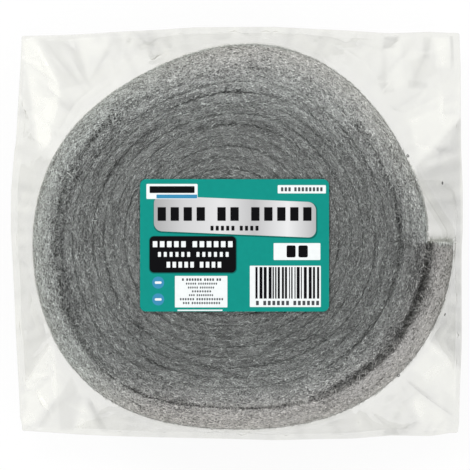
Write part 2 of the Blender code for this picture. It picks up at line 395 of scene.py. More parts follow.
# How open the line between two turns is: faint and broken inside the roll, plain under the outermost turn
def cleftStrength(turn):
    broken = sum(turnWave(turn, pace, start) for pace, start in roll["cleftWaves"])
    least, swing = roll["cleftFloor"]
    strength = least + swing * np.clip(broken, -0.4, 1.8)
    for middle, half, extra in strongClefts:
        strength = strength + roll["strongShare"] * extra * np.clip(1 - np.abs(turn - middle) / half, 0, 1)
    outer = np.clip((turn - wound + 1.15) / 0.1, 0, 1) * (turn < wound)
    around = np.asarray(turn, float) - wound + 1
    swing, pace = roll["outerUneven"]
    uneven = np.interp(around, *np.array(outerCleft).T) + swing * turnWave(turn, pace)
    least, swing, pace, otherPace = roll["beads"]
    beads = least + swing * turnWave(turn, pace) * turnWave(turn, otherPace, 1)
    return np.clip((strength + uneven * outer) * np.maximum(beads, roll["outerBeads"] * outer), 0, 1)


# Radius of the ribbon's inner side, which the tail's wedge moves outwards
def insideRadius(turn):
    return spiralRadius(turn) + tailOpening(turn)


# Distance from a place on the ribbon to the line at its inner and at its outer side, with those lines
def lineDistances(turn, share):
    width = spiralRadius(turn + 1) - insideRadius(turn)
    return ((share * width, turn), ((1 - share) * width, turn + 1))


# Quarter of an ellipse: full depth at the line, nothing from the width on
def shoulder(away, width, depth):
    left = np.clip(1 - away / width, 0, 1)
    return depth * (1 - np.sqrt(1 - left * left))


# Depth below the roll's top: the relief, a shoulder and a cleft by each line, and two faint lines between
def faceDrop(turn, share, clefts=1.0):
    (inside, line), (outside, following) = lineDistances(turn, share)
    opened = tailShare(turn)
    innerWidth = grooveDrop(line) * (1 - opened) + roll["tailSlope"] * opened
    innerDepth = grooveDrop(line) * (1 - opened) + roll["tailDip"] * opened
    outer = grooveDrop(following)
    blend = np.clip(1 - outside / outer, 0, 1)
    drop = reliefDepth(turn) * (1 - blend) + reliefDepth(following) * blend
    wider = roll["besideTail"] * tailShare(following) * (following < wound)
    filled = np.where(tailShare(turn) > 0, 1, clefts + (1 - clefts) * cleftStrength(line))
    drop = drop + filled * shoulder(inside, roll["shoulderReach"] * innerWidth, innerDepth)
    filled = clefts + (1 - clefts) * cleftStrength(following)
    filled = np.where(following < wound - roll["tailTurns"], filled, 1)
    drop = drop + filled * shoulder(outside, roll["shoulderReach"] * outer + wider, outer)
    for away, line in ((inside, line), (outside, following)):
        gaping = cleftStrength(line) * (1 - tailShare(line))
        drop = drop + clefts * roll["cleftDepth"] * gaping * np.clip(1 - away / roll["cleftWidth"], 0, 1)
    width = spiralRadius(turn + 1) - spiralRadius(turn)
    for number, place in enumerate(roll["faintLines"]):
        wander = place + roll["faintWander"] * turnWave(turn, 1.9 + number, number)
        strength = 0.5 + 0.5 * turnWave(turn, 2.3 + number, 2 * number)
        away = (share - wander) * width / roll["lineWidth"]
        drop = drop + roll["lineDepth"] * strength * np.exp(-away * away)
    return drop


# Distance of a place on the ribbon from the roll's outline, and its share of a turn from the ribbon's end
def edgeDepth(turn, share):
    inner = insideRadius(turn)
    radius = inner + (spiralRadius(turn + 1) - inner) * share
    around = turn - np.floor(np.minimum(turn, wound - 1e-6))
    return spiralRadius(wound + around) - radius, around


# Lightness that a place on the face adds, as painted light and shade: painted shade in the clefts, beside the
# tail and along the lines seen there, and painted light over closed lines
def paintedShadeTone(turn, share):
    turn, share = np.asarray(turn, float), np.asarray(share, float)
    (inside, line), (outside, following) = lineDistances(turn, share)
    tone = np.zeros(np.broadcast(turn, share).shape)
    # Painted shade along open lines, and painted light along closed ones
    for away, line in ((inside, line), (outside, following)):
        near = np.exp(-((away / shading["lineFade"]) ** 2))
        strength = cleftStrength(line)
        closed = shading["closedLinePaintedLight"] * (1 - strength) * (line < wound - 1)
        tone = tone + (closed - shading["openLinePaintedShade"] * strength) * near * (1 - tailShare(line))
    # Painted shade on the tail by its gap, and on the body beside the tail
    opened = tailShare(turn)
    strength, width, wider = shading["tailFootShade"]
    tone = tone - strength * np.sqrt(opened) * np.clip(1 - inside / (width + wider * opened), 0, 1)
    beside = tailShare(following) * (following < wound)
    strength, width = shading["tailEdgeShade"]
    tone = tone - strength * np.clip(2 * beside - 0.7, 0, 1) * np.clip(1 - outside / width, 0, 1)
    strength, place, width = shading["tailShadow"]
    tone = tone - strength * np.clip(3 * beside - 1.7, 0, 1) * np.exp(-(((outside - place) / width) ** 2))
    depth, around = edgeDepth(turn, share)
    # Painted shade lines where the grooves show dark
    for window, place, width, strength in paintedShadeLines:
        seen = np.interp(around, window, (0, 1, 1, 0))
        tone = tone - strength * seen * np.exp(-(((depth - place) / width) ** 2))
    return tone


# How light a place on the face is altogether: most at the roll's outer edge, fading inwards as in the photo
def placeGain(turn, share):
    depth, around = edgeDepth(np.asarray(turn, float), np.asarray(share, float))
    places, added, reach = np.array(edgeLight).T
    light = np.interp(around, places, added)
    fading = np.interp(around, places, reach) / 1000
    darker = np.interp(around, shading["darkerPlaces"], shading["darker"])
    edge = np.exp(-((np.maximum(depth, 0) / fading) ** 2))
    return shading["gain"] * (1 + light * edge - darker * (1 - edge))


# Tint of a place on the face, from cool to warm: cool inside and at the left, warm at the bottom and the tail
def placeWarmth(turn, share):
    depth, around = edgeDepth(np.asarray(turn, float), np.asarray(share, float))
    warmth = np.interp(around, shading["warmPlaces"], shading["warm"])
    return warmth * np.exp(-((np.maximum(depth, 0) / shading["warmReach"]) ** 2))


# The ribbon's own turn and share for a place that may lie past the ribbon's side, in the next turn
def onRibbon(turn, share):
    carry = np.floor(share)
    carry = np.where(turn + carry > wound, 0, carry)
    carry = np.where(turn + carry < 0, 0, carry)
    return turn + carry, np.clip(share - carry, 0, 1)


# Points over a face of the roll, by turn and share of the ribbon's thickness, lifted off the bare surface
def facePoints(turn, share, lift, upper=True, clefts=1.0):
    ribbon, share = onRibbon(turn, share)
    inner = insideRadius(ribbon)
    radius = inner + (spiralRadius(ribbon + 1) - inner) * share
    places = polarPoints(radius, spiralAngle(turn), 0)
    lumps = roll["lumps"] * np.clip(waveSum(places, *roll["lumpWaves"], roll["seed"]), -1, 1)
    depth = np.maximum(faceDrop(ribbon, share, clefts) + lumps + roll["underFibres"] - lift, 0.0001)
    places[..., 2] = rollHigh.z - depth if upper else rollLow.z + depth
    return places


# What sets the steel's streaks: stretch along the winding, scale and detail of each noise, and their weights
steel = {
    "fine": (0.8, 900, 2),
    "broad": (0.17, 210, 2),
    "speck": (0.6, 1150, 1),
    "noiseRoughness": 0.6,
    "windingRadius": 0.15,
    "speckRange": (0.34, 0.43, -0.45, 0),
    "weights": (2.1, 0.8, 1, 1),
    "offset": -1.30,
    "cool": (0.965, 1, 0.98, 1),
    "warm": (1, 0.975, 0.955, 1),
    "bump": (0.6, 0.0006),
    "metallic": 0.5,
}


# Dull steel with specks and streaks that run along the winding, from polar coordinates about the axis
def steelMaterial(name, dark, light, roughness):
    material, tree = emptyMaterial(name)
    shift = (-rollAxis[0], -rollAxis[1], 0)
    centred = addNode(tree, "Mapping", {"Vector": objectPlace(tree), "Location": shift})
    apart = addNode(tree, "SeparateXYZ", {"Vector": centred.outputs["Vector"]}).outputs
    flat = addNode(tree, "CombineXYZ", {"X": apart["X"], "Y": apart["Y"]})
    across = tree.nodes.new("ShaderNodeVectorMath")
    across.operation = "LENGTH"
    wire(tree, across, {0: flat.outputs["Vector"]})
    angle = calculated(tree, "ARCTAN2", apart["Y"], apart["X"])
    along = calculated(tree, "MULTIPLY", angle, steel["windingRadius"])
    winding = addNode(tree, "CombineXYZ", {"X": across.outputs["Value"], "Y": along, "Z": apart["Z"]})

    def streaks(stretch, scale, detail):
        squeezed = addNode(tree, "Mapping", {"Vector": winding.outputs["Vector"], "Scale": (1, stretch, 1)})
        return noiseValue(tree, squeezed.outputs["Vector"], scale, detail, steel["noiseRoughness"])

    fine, broad, speck = streaks(*steel["fine"]), streaks(*steel["broad"]), streaks(*steel["speck"])
    speck = ranged(tree, speck, *steel["speckRange"])
    total = steel["offset"]
    # The tone attribute holds each fibre's own tone together with painted shade in the clefts, by the tail
    # and along the dark lines
    for value, weight in zip((fine, broad, speck, carried(tree, "tone")), steel["weights"]):
        total = calculated(tree, "MULTIPLY_ADD", value, weight, total)
    total = calculated(tree, "MULTIPLY", total, carried(tree, "gain"))
    grey = rampColour(tree, total, ((0, [dark] * 3), (1, [light] * 3)))
    tint = mixedColour(tree, carried(tree, "warmth"), steel["cool"], steel["warm"])
    return surfaced(material, glossy(tree, {
        "Base Color": mixedColour(tree, 1, grey, tint, "MULTIPLY"),
        "Normal": bumped(tree, fine, *steel["bump"]),
        "Metallic": steel["metallic"],
        "Roughness": roughness,
    }))


# How far the roll's side is pressed in, by direction and share of the way down: slow waves with fine ripples
def wallSqueeze(angle, share):
    number = share * (roll["wallLevels"] + 1) - 1
    slow = roll["wallWave"] * (1 + np.sin(roll["wallWaves"] * angle + roll["wallShift"] * number)) / 2
    around, down = roll["rippleStretch"]
    places = np.stack(np.broadcast_arrays(angle * around, share * down), axis=-1)
    ripples = waveSum(places, *roll["rippleWaves"], roll["seed"] + 1)
    fine = roll["wallRipple"] * (1 + np.clip(ripples, -1, 1))
    edge = np.clip((roll["wallLevels"] + 1) * np.minimum(share, 1 - share), 0, 1)
    return (slow + fine) * edge


# The roll's body, under its loose fibres. It is the same loft as the solid: rows along the spiral, each row a
# share of the way across the ribbon
def makeRollBody(material):
    perTurn = roll["stepsPerTurn"]
    steps = wound * perTurn
    tailSteps = round(roll["tailTurns"] * perTurn)
    shares = roll["across"][1:-1]
    line = np.arange(steps + perTurn + 1) / perTurn
    ribbon = line[: steps + 1]

    def platePoints(upper):
        edge = facePoints(np.minimum(line, wound), 0.0, 0.0, upper)
        last = facePoints(line[steps:] - 1, 1.0 - 1e-9, 0.0, upper)
        edge = np.concatenate([edge[:steps], last])
        part = slice(steps - tailSteps, steps)
        edge[part, :2] = polarPoints(spiralRadius(line[part]), spiralAngle(line[part]), 0)[:, :2]
        inside = [facePoints(ribbon, share, 0.0, upper) for share in shares]
        tail = facePoints(ribbon[-tailSteps:], 0.0, 0.0, upper)
        return np.concatenate([edge, *inside, tail])

    upperPoints, lowerPoints = platePoints(True), platePoints(False)
    count = len(upperPoints)
    station = np.arange(steps + 1)
    edgeCount = steps + perTurn + 1
    rows = [edgeCount + number * (steps + 1) + station for number in range(len(shares))]
    tailStart = edgeCount + len(shares) * (steps + 1)
    firstTail = steps + 1 - tailSteps
    inner = np.where(station < firstTail, station, tailStart + station - firstTail)
    rows = [inner, *rows, station + perTurn]

    faces = [gridFaces(rows), gridFaces(rows[::-1]) + count]
    endRow = [row[-1] for row in rows[-2:0:-1]]
    outer = np.arange(steps, steps + perTurn + 1)
    wall = np.concatenate([outer, endRow, inner[: firstTail - 2 : -1], np.arange(firstTail, steps)])
    core = np.concatenate([[0], [row[0] for row in rows[1:-1]], np.arange(perTurn, 0, -1)])

    points = [upperPoints, lowerPoints]
    total = 2 * count
    levels = [wall]
    for number in range(1, roll["wallRings"]):
        share = number / roll["wallRings"]
        ring = upperPoints[wall] * (1 - share) + lowerPoints[wall] * share
        away = ring[:, :2] - rollAxis
        distance = np.linalg.norm(away, axis=1)
        squeeze = wallSqueeze(np.arctan2(away[:, 1], away[:, 0]), share)
        ring[:, :2] -= away * (squeeze / distance)[:, None]
        points.append(ring)
        levels.append(total + np.arange(len(wall)))
        total += len(wall)
    levels.append(wall + count)
    faces.append(gridFaces(np.stack(levels), closed=True))
    faces.append(gridFaces(np.stack([core, core + count]), closed=True))
    body = addMesh("woolRollBody", np.concatenate(points), faces, material)
    edge = np.minimum(line, wound - 1e-6), np.where(line > wound, 1.0, 0.0)
    # Tone carries the painted shade of each place; gain and warmth its lightness and tint
    kinds = (("tone", paintedShadeTone, 0.45, 0.65), ("gain", placeGain, 0, 0.9), ("warmth", placeWarmth, 0, 0.3))
    for name, valueAt, base, wallValue in kinds:
        values = np.full(total, wallValue)
        values[:edgeCount] = base + valueAt(*edge)
        for number, share in enumerate(shares):
            start = edgeCount + number * (steps + 1)
            values[start : start + steps + 1] = base + valueAt(ribbon, share)
        values[tailStart:count] = base + valueAt(ribbon[-tailSteps:], 0.0)
        values[count : 2 * count] = values[:count]
        addPointValues(body, name, values)
    return body


# Loose fibres, as thin three-sided threads with pointed ends
fibres = {
    "topPieces": 2,
    "perTopPiece": 31000,
    "underCount": 9000,
    "wallCount": 15000,
    "bridgeCount": 5200,
    "fuzzCount": 7000,
    "endCount": 700,
    "radius": 0.00023,
    "shortest": 0.002,
    "longest": 0.008,
    "drift": 0.0012,
    "wave": 0.0005,
    "waves": (0.5, 1.6),
    "below": 0.0002,
    "seed": 21,
}


# Threads along paths: three corners round each inner point of the path, and a single point at each end
def threadMesh(name, paths, radii, tones, gains, warmths, material):
    count, length = paths.shape[:2]
    along = np.gradient(paths, axis=1)
    along /= np.linalg.norm(along, axis=2, keepdims=True) + 1e-12
    side = np.cross(along, np.broadcast_to([0.05, 0.03, 1.0], along.shape))
    side /= np.linalg.norm(side, axis=2, keepdims=True) + 1e-12
    over = np.cross(side, along)
    turns = np.radians([90, 210, 330])
    ring = side[:, 1:-1, None, :] * np.cos(turns)[:, None] + over[:, 1:-1, None, :] * np.sin(turns)[:, None]
    ring = paths[:, 1:-1, None, :] + ring * radii[:, None, None, None]
    inside = length - 2
    each = 3 * inside + 2
    points = np.concatenate([ring.reshape(count, -1, 3), paths[:, :1], paths[:, -1:]], axis=1)
    rings = 3 * np.arange(inside - 1)[:, None] + np.arange(3)
    following = 3 * np.arange(inside - 1)[:, None] + np.array([1, 2, 0])
    quads = np.stack([rings, following, following + 3, rings + 3], axis=-1).reshape(-1, 4)
    first, last = 3 * inside, 3 * inside + 1
    end = 3 * (inside - 1)
    tips = [(first, (k + 1) % 3, k) for k in range(3)]
    tips = np.array(tips + [(last, end + k, end + (k + 1) % 3) for k in range(3)])
    start = each * np.arange(count)[:, None, None]
    piece = addMesh(
        name, points.reshape(-1, 3), [(quads + start).reshape(-1, 4), (tips + start).reshape(-1, 3)], material
    )
    for attribute, values in (("tone", tones), ("gain", gains), ("warmth", warmths)):
        values = np.broadcast_to(values, (count, length))
        ringValues = np.repeat(values[:, 1:-1], 3, axis=1)
        values = np.concatenate([ringValues, values[:, :1], values[:, -1:]], axis=1)
        addPointValues(piece, attribute, values.ravel())
    return piece


# Seeded lengths, drifts and waves of threads, as arrays over the threads and the points along them
def threadSpread(random, count, points):
    way = np.linspace(-0.5, 0.5, points)
    length = random.uniform(fibres["shortest"], fibres["longest"], count)
    drift = random.normal(0, 1, count)[:, None] * way * 2
    phase = random.uniform(0, 2 * np.pi, count)[:, None]
    wave = np.sin(2 * np.pi * way * random.uniform(*fibres["waves"], count)[:, None] + phase)
    return way, length, drift, wave


def threadRadii(random, count, kind):
    return fibres["radius"] * random.uniform(*kind["thickness"], count)


faceThreads = {
    "area": (0.0012, 1.16),
    "least": 0.012,
    "shares": (0.03, 0.97),
    "stay": 0.05,
    "spanning": 0.85,
    "spannedCleft": 0.1,
    "height": (-0.0003, 0.0006),
    "arch": 0.0004,
    "arches": (-0.6, 1),
    "highest": 0.0007,
    "thickness": (0.5, 1.6),
    "tone": (0.12, 0.92),
}


# Threads laid over a face along the winding, a little across it, dipping under and rising over each other
def makeFaceFibres(name, count, seed, material, upper=True):
    kind = faceThreads
    random = np.random.default_rng(seed)
    way, length, drift, wave = threadSpread(random, count, 3)
    radius = spiralRadius(wound + 0.5) * np.sqrt(random.uniform(*kind["area"], count))
    heading = random.uniform(0, 1, count)
    lines = spiralRadius(np.arange(wound + 1)[None, :] + heading[:, None])
    ribbon = np.clip((lines < radius[:, None]).sum(axis=1) - 1, 0, wound - 1)
    turn = ribbon + heading
    near = spiralRadius(turn)
    width = spiralRadius(turn + 1) - near
    share = random.uniform(*kind["shares"], count)
    span = length / (2 * np.pi * np.maximum(near, kind["least"]))
    turns = np.clip(turn[:, None] + span[:, None] * way, 0, wound)
    shares = share[:, None] + (fibres["drift"] * drift + fibres["wave"] * wave) / width[:, None]
    # Threads stay on the outermost turn, and on both sides of the tail's gap
    low = kind["shares"][0] + kind["stay"] * random.uniform(0, 1, (count, 1))
    high = kind["shares"][1] - kind["stay"] * random.uniform(0, 1, (count, 1))
    inside = np.clip(shares, low, high)
    outermost = turns > wound - 1.04
    opened = (tailShare(turns) > 0) | (tailShare(turns + 1) * (turns < wound - 1) > 0)
    shares = np.where(opened, inside, np.where(outermost, np.minimum(shares, inside), shares))
    spans = random.uniform(0, 1, (count, 1)) < kind["spanning"]
    height = random.uniform(*kind["height"], count)[:, None]
    arch = kind["arch"] * np.cos(np.pi * way) * random.uniform(*kind["arches"], count)[:, None]
    lift = np.minimum(height + arch, kind["highest"])
    paths = facePoints(turns, shares, lift, upper, np.where(spans, kind["spannedCleft"], 1.0))
    radii = threadRadii(random, count, kind)
    places = onRibbon(turns, shares)
    # Each thread's own tone, with the painted shade of its place added
    tones = random.uniform(*kind["tone"], count)[:, None] + paintedShadeTone(*places)
    return threadMesh(name, paths, radii, tones, placeGain(*places), placeWarmth(*places), material)


bridgeThreads = {
    "start": 1.05,
    "stop": 0.004,
    "crowding": 0.75,
    "lowerShare": 0.35,
    "lowerPlace": (0.36, 0.23),
    "wander": 0.0012,
    "shortPlaces": (0.60, 0.66, 0.84, 0.90),
    "short": (1, 0.4, 0.4, 1),
    "length": (0.003, 0.009),
    "gapLength": 1.6,
    "slope": 1.35,
    "pastEnd": 0.02,
    "lift": 0.0005,
    "sagPlaces": (0.3, 0.16, 0.1),
    "sags": (0.001, 0.0015, 0.007),
    "thickness": (0.5, 1.5),
    "tone": (0.05, 0.6),
    "lighter": (0.15, 0.2),
    # Share of the painted shade of their place that these threads take
    "placeShare": 0.6,
}


# Threads that hang across the line under the outermost turn and across the tail's gap, sagging between ends
def makeBridgeFibres(name, count, seed, material):
    kind = bridgeThreads
    random = np.random.default_rng(seed)
    way = np.linspace(-0.5, 0.5, 4)
    start, stop = wound - kind["start"], wound - kind["stop"]
    turn = start + (stop - start) * random.uniform(0, 1, count) ** kind["crowding"]
    lower = random.uniform(0, 1, count) < kind["lowerShare"]
    back, reach = kind["lowerPlace"]
    turn = np.where(lower, wound - back + reach * random.uniform(0, 1, count), turn)
    radius = spiralRadius(turn) + 0.5 * tailOpening(turn) + random.normal(0, kind["wander"], count)
    shorter = np.interp(turn - wound + 1, kind["shortPlaces"], kind["short"])
    length = random.uniform(*kind["length"], count) * shorter
    length = length + kind["gapLength"] * tailOpening(turn) * random.uniform(0, 1, count)
    slope = random.uniform(-kind["slope"], kind["slope"], count)
    radii = radius[:, None] + (length * np.sin(slope))[:, None] * way
    angles = spiralAngle(turn)[:, None] + (length * np.cos(slope) / radius)[:, None] * way
    angles = np.minimum(angles, spiralAngle(wound) + kind["pastEnd"] * random.uniform(0, 1, (count, 1)))
    turns = (angles - roll["endAngle"]) / (2 * np.pi)
    line, inner = spiralRadius(turns), insideRadius(turns)
    outside = (np.maximum(radii, inner) - inner) / (spiralRadius(turns + 1) - inner)
    within = (radii - spiralRadius(turns - 1)) / (line - spiralRadius(turns - 1))
    beyond = radii > line + 0.5 * tailOpening(turns)
    ribbons = np.minimum(np.where(beyond, turns, turns - 1), wound)
    places = ribbons, np.clip(np.where(beyond, outside, within), 0, 1)
    surface = facePoints(*places, kind["lift"])[..., 2]
    ends = surface[:, :1] + (surface[:, -1:] - surface[:, :1]) * (way + 0.5)
    deepest = np.interp(turn, wound - np.array(kind["sagPlaces"]), kind["sags"])
    sag = np.cos(np.pi * way) * (random.uniform(0, 1, count) ** 2 * deepest)[:, None]
    gap = (radii > line) & (radii < inner)
    level = np.where(gap, ends - sag, np.maximum(ends - sag, surface))
    paths = polarPoints(radii, angles, np.minimum(level, rollHigh.z - fibres["below"]))
    back, lighter = kind["lighter"]
    tones = random.uniform(*kind["tone"], count) + np.where(turn < wound - back, lighter, 0)
    tones = tones[:, None] + kind["placeShare"] * paintedShadeTone(*places)
    radii = threadRadii(random, count, kind)
    return threadMesh(name, paths, radii, tones, placeGain(*places), placeWarmth(*places), material)


fuzzThreads = {
    "upperLeft": (0.65, 0.2, 0.42),
    "atEnd": (0.12, 0.06),
    "drop": (0.0012, 0.02),
    "reach": (0.0008, 0.0035),
    "leastRoom": 0.0006,
    "below": 0.0006,
    "lean": 0.0035,
    "root": 0.0008,
    "tilt": 0.001,
    "tone": (0.3, 0.9),
    "thickness": (0.6, 1.3),
    "gain": 1.1,
}


# Short threads that stand out from the rim into the slack of the film, most at the upper left
def makeFuzz(name, count, seed, material):
    kind = fuzzThreads
    random = np.random.default_rng(seed)
    way = np.linspace(0, 1, 3)
    share = random.uniform(0, 1, count)
    often, start, reach = kind["upperLeft"]
    share = np.where(random.uniform(0, 1, count) < often, start + reach * share, share)
    often, reach = kind["atEnd"]
    share = np.where(random.uniform(0, 1, count) < often, reach * share, share)
    turn = wound + share
    drop = random.uniform(*kind["drop"], count)
    rounding = shoulder(drop, roll["shoulderReach"] * roll["rimDrop"], roll["rimDrop"])
    room = rollHull(spiralAngle(turn)) + bag["clearance"] - spiralRadius(turn) - fibres["below"]
    room = np.clip(room, kind["leastRoom"], kind["reach"][1])
    reach = np.minimum(random.uniform(*kind["reach"], count), room)
    lean = random.normal(0, kind["lean"], count)
    start = spiralRadius(turn) - rounding - kind["root"]
    radius = start[:, None] + (reach + kind["root"])[:, None] * way
    angle = spiralAngle(turn)[:, None] + (lean / start)[:, None] * way
    level = (rollHigh.z - drop)[:, None] + (random.normal(0, kind["tilt"], count))[:, None] * way
    paths = polarPoints(radius, angle, np.minimum(level, rollHigh.z - kind["below"]))
    tones = random.uniform(*kind["tone"], count)[:, None]
    return threadMesh(name, paths, threadRadii(random, count, kind), tones, kind["gain"], 0.0, material)


wallThreads = {
    "margins": (0.002, 0.005),
    "limits": (0.001, 0.0042),
    "drift": 0.004,
    "wave": 0.001,
    "arch": 0.0011,
    "arches": (-0.4, 1),
    "sunk": (-0.0002, 0.0006),
    "tone": (0.0, 1.15),
    "thickness": (0.5, 1.6),
    "gain": 0.95,
    "warmth": 0.3,
}


# Threads laid along the roll's outer side, level but for a slight drift
def makeWallFibres(name, count, seed, material):
    kind = wallThreads
    random = np.random.default_rng(seed)
    way, length, drift, wave = threadSpread(random, count, 3)
    turn = wound + random.uniform(0, 1, count)
    span = length / (2 * np.pi * spiralRadius(turn))
    turns = np.clip(turn[:, None] + span[:, None] * way, wound, wound + 1)
    (low, high), (lowest, highest) = kind["margins"], kind["limits"]
    level = random.uniform(rollLow.z + low, rollHigh.z - high, count)[:, None]
    level = level + kind["drift"] * drift + kind["wave"] * wave
    level = np.clip(level, rollLow.z + lowest, rollHigh.z - highest)
    angle = spiralAngle(turns)
    arch = kind["arch"] * np.cos(np.pi * way) * random.uniform(*kind["arches"], count)[:, None]
    edge = np.minimum(rollHigh.z - level, level - rollLow.z)
    rounding = shoulder(edge, roll["rimDrop"], roll["rimDrop"])
    squeeze = wallSqueeze(angle, (rollHigh.z - level) / (rollHigh.z - rollLow.z))
    radius = spiralRadius(turns) - rounding - squeeze + arch - random.uniform(*kind["sunk"], count)[:, None]
    paths = polarPoints(radius, angle, level)
    tones = random.uniform(*kind["tone"], count)[:, None]
    radii = threadRadii(random, count, kind)
    return threadMesh(name, paths, radii, tones, kind["gain"], kind["warmth"], material)


endThreads = {
    "shares": (0.02, 0.98),
    "margins": (0.0009, 0.006),
    "crowding": 5,
    "dipShare": 0.4,
    "tufts": (0.3, 0.7),
    "reach": (0.0003, 0.0085),
    "fan": 0.0024,
    "back": (0.0005, 0.006),
    "tone": (0.6, 1.1),
    "rootTone": 0.4,
    "thickness": (0.4, 1.2),
    "gain": 1.4,
    "warmth": 0.2,
}


# Threads that come out of the ribbon's cut end, a few millimetres past it and fanning out
def makeEndFibres(name, count, seed, material):
    kind = endThreads
    random = np.random.default_rng(seed)
    way = np.linspace(0, 1, 4)
    share = random.uniform(*kind["shares"], count)
    inner = spiralRadius(wound) + roll["tailGap"]
    radius = inner + (spiralRadius(wound + 1) - inner) * share
    high, low = kind["margins"]
    depth = (rollHigh.z - rollLow.z - low) * random.uniform(0, 1, count) ** kind["crowding"]
    level = rollHigh.z - high - depth - roll["tailDip"] * np.clip(1 - share / kind["dipShare"], 0, 1)
    start = polarPoints(radius, roll["endAngle"], level)[:, None, :]
    tangent = np.array([-math.sin(roll["endAngle"]), math.cos(roll["endAngle"]), 0])
    outward = np.array([math.cos(roll["endAngle"]), math.sin(roll["endAngle"]), 0])
    least, more = kind["tufts"]
    tufts = least + more * np.sin(19 * share + 1) ** 2 * np.sin(47 * share) ** 2
    least, more = kind["reach"]
    reach = least + more * tufts * random.uniform(0, 1, count) ** 3
    fan = random.normal(0, kind["fan"], (count, 2))
    back = random.uniform(*kind["back"], count)
    paths = start + tangent * ((back + reach)[:, None] * way - back[:, None])[..., None]
    bend = (way**2)[None, :, None]
    paths = paths + bend * (fan[:, None, :1] * outward + fan[:, None, 1:] * np.array([0, 0, 1.0]))
    paths[..., 2] = np.clip(paths[..., 2], rollLow.z, rollHigh.z - fibres["below"])
    tones = random.uniform(*kind["tone"], count)[:, None] * np.ones(4)
    tones[:, :2] = kind["rootTone"]
    radii = threadRadii(random, count, kind)
    return threadMesh(name, paths, radii, tones, kind["gain"], kind["warmth"], material)


# The bag: one closed skin of clear film, with the outline of its solid
bag = {
    "film": 0.0003,
    "vents": ((406, 157), (443, 183), (444, 315), (397, 374)),
    "ventRadius": 0.0010,
    "hemStandoff": (0.0119, 0.0187, 0.0230, 0.0126),
    "cornerPower": 220,
    "clearance": 0.0014,
    "rimFlat": 0.0056,
    "rimDrop": 0.0050,
    "hemWidth": 0.0050,
    "hemSlit": 0.0004,
    "hemLevel": 0.046,
    "cornerDroop": 0.014,
    "cornerSag": 0.45,
    "cornerFold": 0.0050,
    "cornerFolds": 3,
    "cornerSpread": math.radians(21),
    "sideRipple": 0.0012,
    "sideRipples": 22,
    "stepsPerSide": 160,
    "cornerCrowding": 0.75,
    "upperRings": 66,
    "lowerRings": 18,
    "rimRings": 6,
    "flatRings": 16,
    "flatShares": (0.04, 0.8, 8),
    "hemShares": (0.25, 0.5, 0.75, 1),
    "hemWave": (0.0012, 9),
    "lowerRelief": 0.6,
    "ventHeight": 0.075,
    "ventRim": (0.0004, 0.0003),
    "creaseLevel": 0.015,
    # Haze of each part: flat face by the rim, rim, upper skirt, lower skirt, lower rim and underside
    "faceHaze": 0.3,
    "rimHaze": (0.35, 0.65),
    "skirtHaze": (0.9, 0.1),
    "lowerHaze": 0.25,
    "lowerRimHaze": 0.5,
    "underHaze": 0.1,
    # How much the painted highlights and shade thicken the film's haze
    "paintedLightHaze": (0.3, 1.2),
    # Painted light and shade of the creases and of the pleats
    "creasePaintedLight": (0.24, 0.0025),
    "pleatPaintedLight": (0.10, 61, 23),
}


def outlineReach():
    x = spiralRadius(outlineTurn) * np.cos(spiralAngle(outlineTurn))
    y = spiralRadius(outlineTurn) * np.sin(spiralAngle(outlineTurn))
    return np.array([x.max(), y.max(), -x.min(), -y.min()])


hemEast, hemNorth, hemWest, hemSouth = outlineReach() + bag["hemStandoff"]


# Radius of a tight string round the roll: the nearest of its supporting lines in each direction
def rollHull(angle):
    facing = np.linspace(-np.pi, np.pi, 721)
    radius = spiralRadius(outlineTurn)
    support = (radius * np.cos(facing[:, None] - spiralAngle(outlineTurn))).max(axis=1)
    slant = np.maximum(np.cos(angle[:, None] - facing), 1e-6)
    return (support / slant).min(axis=1)


def bagCorners():
    east, north = (hemEast, -hemWest, -hemWest, hemEast), (hemNorth, hemNorth, -hemSouth, -hemSouth)
    return np.arctan2(north, east) % (2 * np.pi)


def bagAngles():
    corners = bagCorners()
    spans = np.diff(np.append(corners, corners[0] + 2 * np.pi))
    share = np.arange(bag["stepsPerSide"]) / bag["stepsPerSide"]
    share = share - bag["cornerCrowding"] / (2 * np.pi) * np.sin(2 * np.pi * share)
    return (corners[:, None] + spans[:, None] * share).ravel()


# One at a corner of the bag and nought from the corner's spread on, with the signed angle from it
def nearCorner(angle):
    turned = (angle[:, None] - bagCorners() + np.pi) % (2 * np.pi) - np.pi
    nearest = np.take_along_axis(turned, np.abs(turned).argmin(axis=1)[:, None], axis=1)[:, 0]
    near = np.clip(1 - np.abs(nearest) / bag["cornerSpread"], 0, 1)
    return near * near * (3 - 2 * near), nearest


# How far a side of the bag lies inside its furthest reach, by the photo's pixel along it
def sideInset(side, place):
    along, inset = np.array(hemInsets[side]).T
    return np.interp(place, along, inset) * hemPixel


# Radius of a square with small round corners and sides that run in and out as in the photo
def hemRadius(angle):
    east, north = np.cos(angle), np.sin(angle)
    middle = photo["pixels"] / 2
    reach = np.where(east > 0, hemEast, hemWest)
    up = np.clip(reach * north / np.maximum(np.abs(east), 0.05), -hemSouth, hemNorth)
    row = middle - (up + rollAxis[1] - photo["eyeY"]) / hemPixel
    inset = np.where(east > 0, sideInset("right", row), sideInset("left", row))
    across = np.abs(east) / (reach - inset)
    reach = np.where(north > 0, hemNorth, hemSouth)
    right = np.clip(reach * east / np.maximum(np.abs(north), 0.05), -hemWest, hemEast)
    column = middle + (right + rollAxis[0] - photo["eyeX"]) / hemPixel
    inset = np.where(north > 0, sideInset("top", column), sideInset("bottom", column))
    along = np.abs(north) / (reach - inset)
    return (across ** bag["cornerPower"] + along ** bag["cornerPower"]) ** (-1 / bag["cornerPower"])


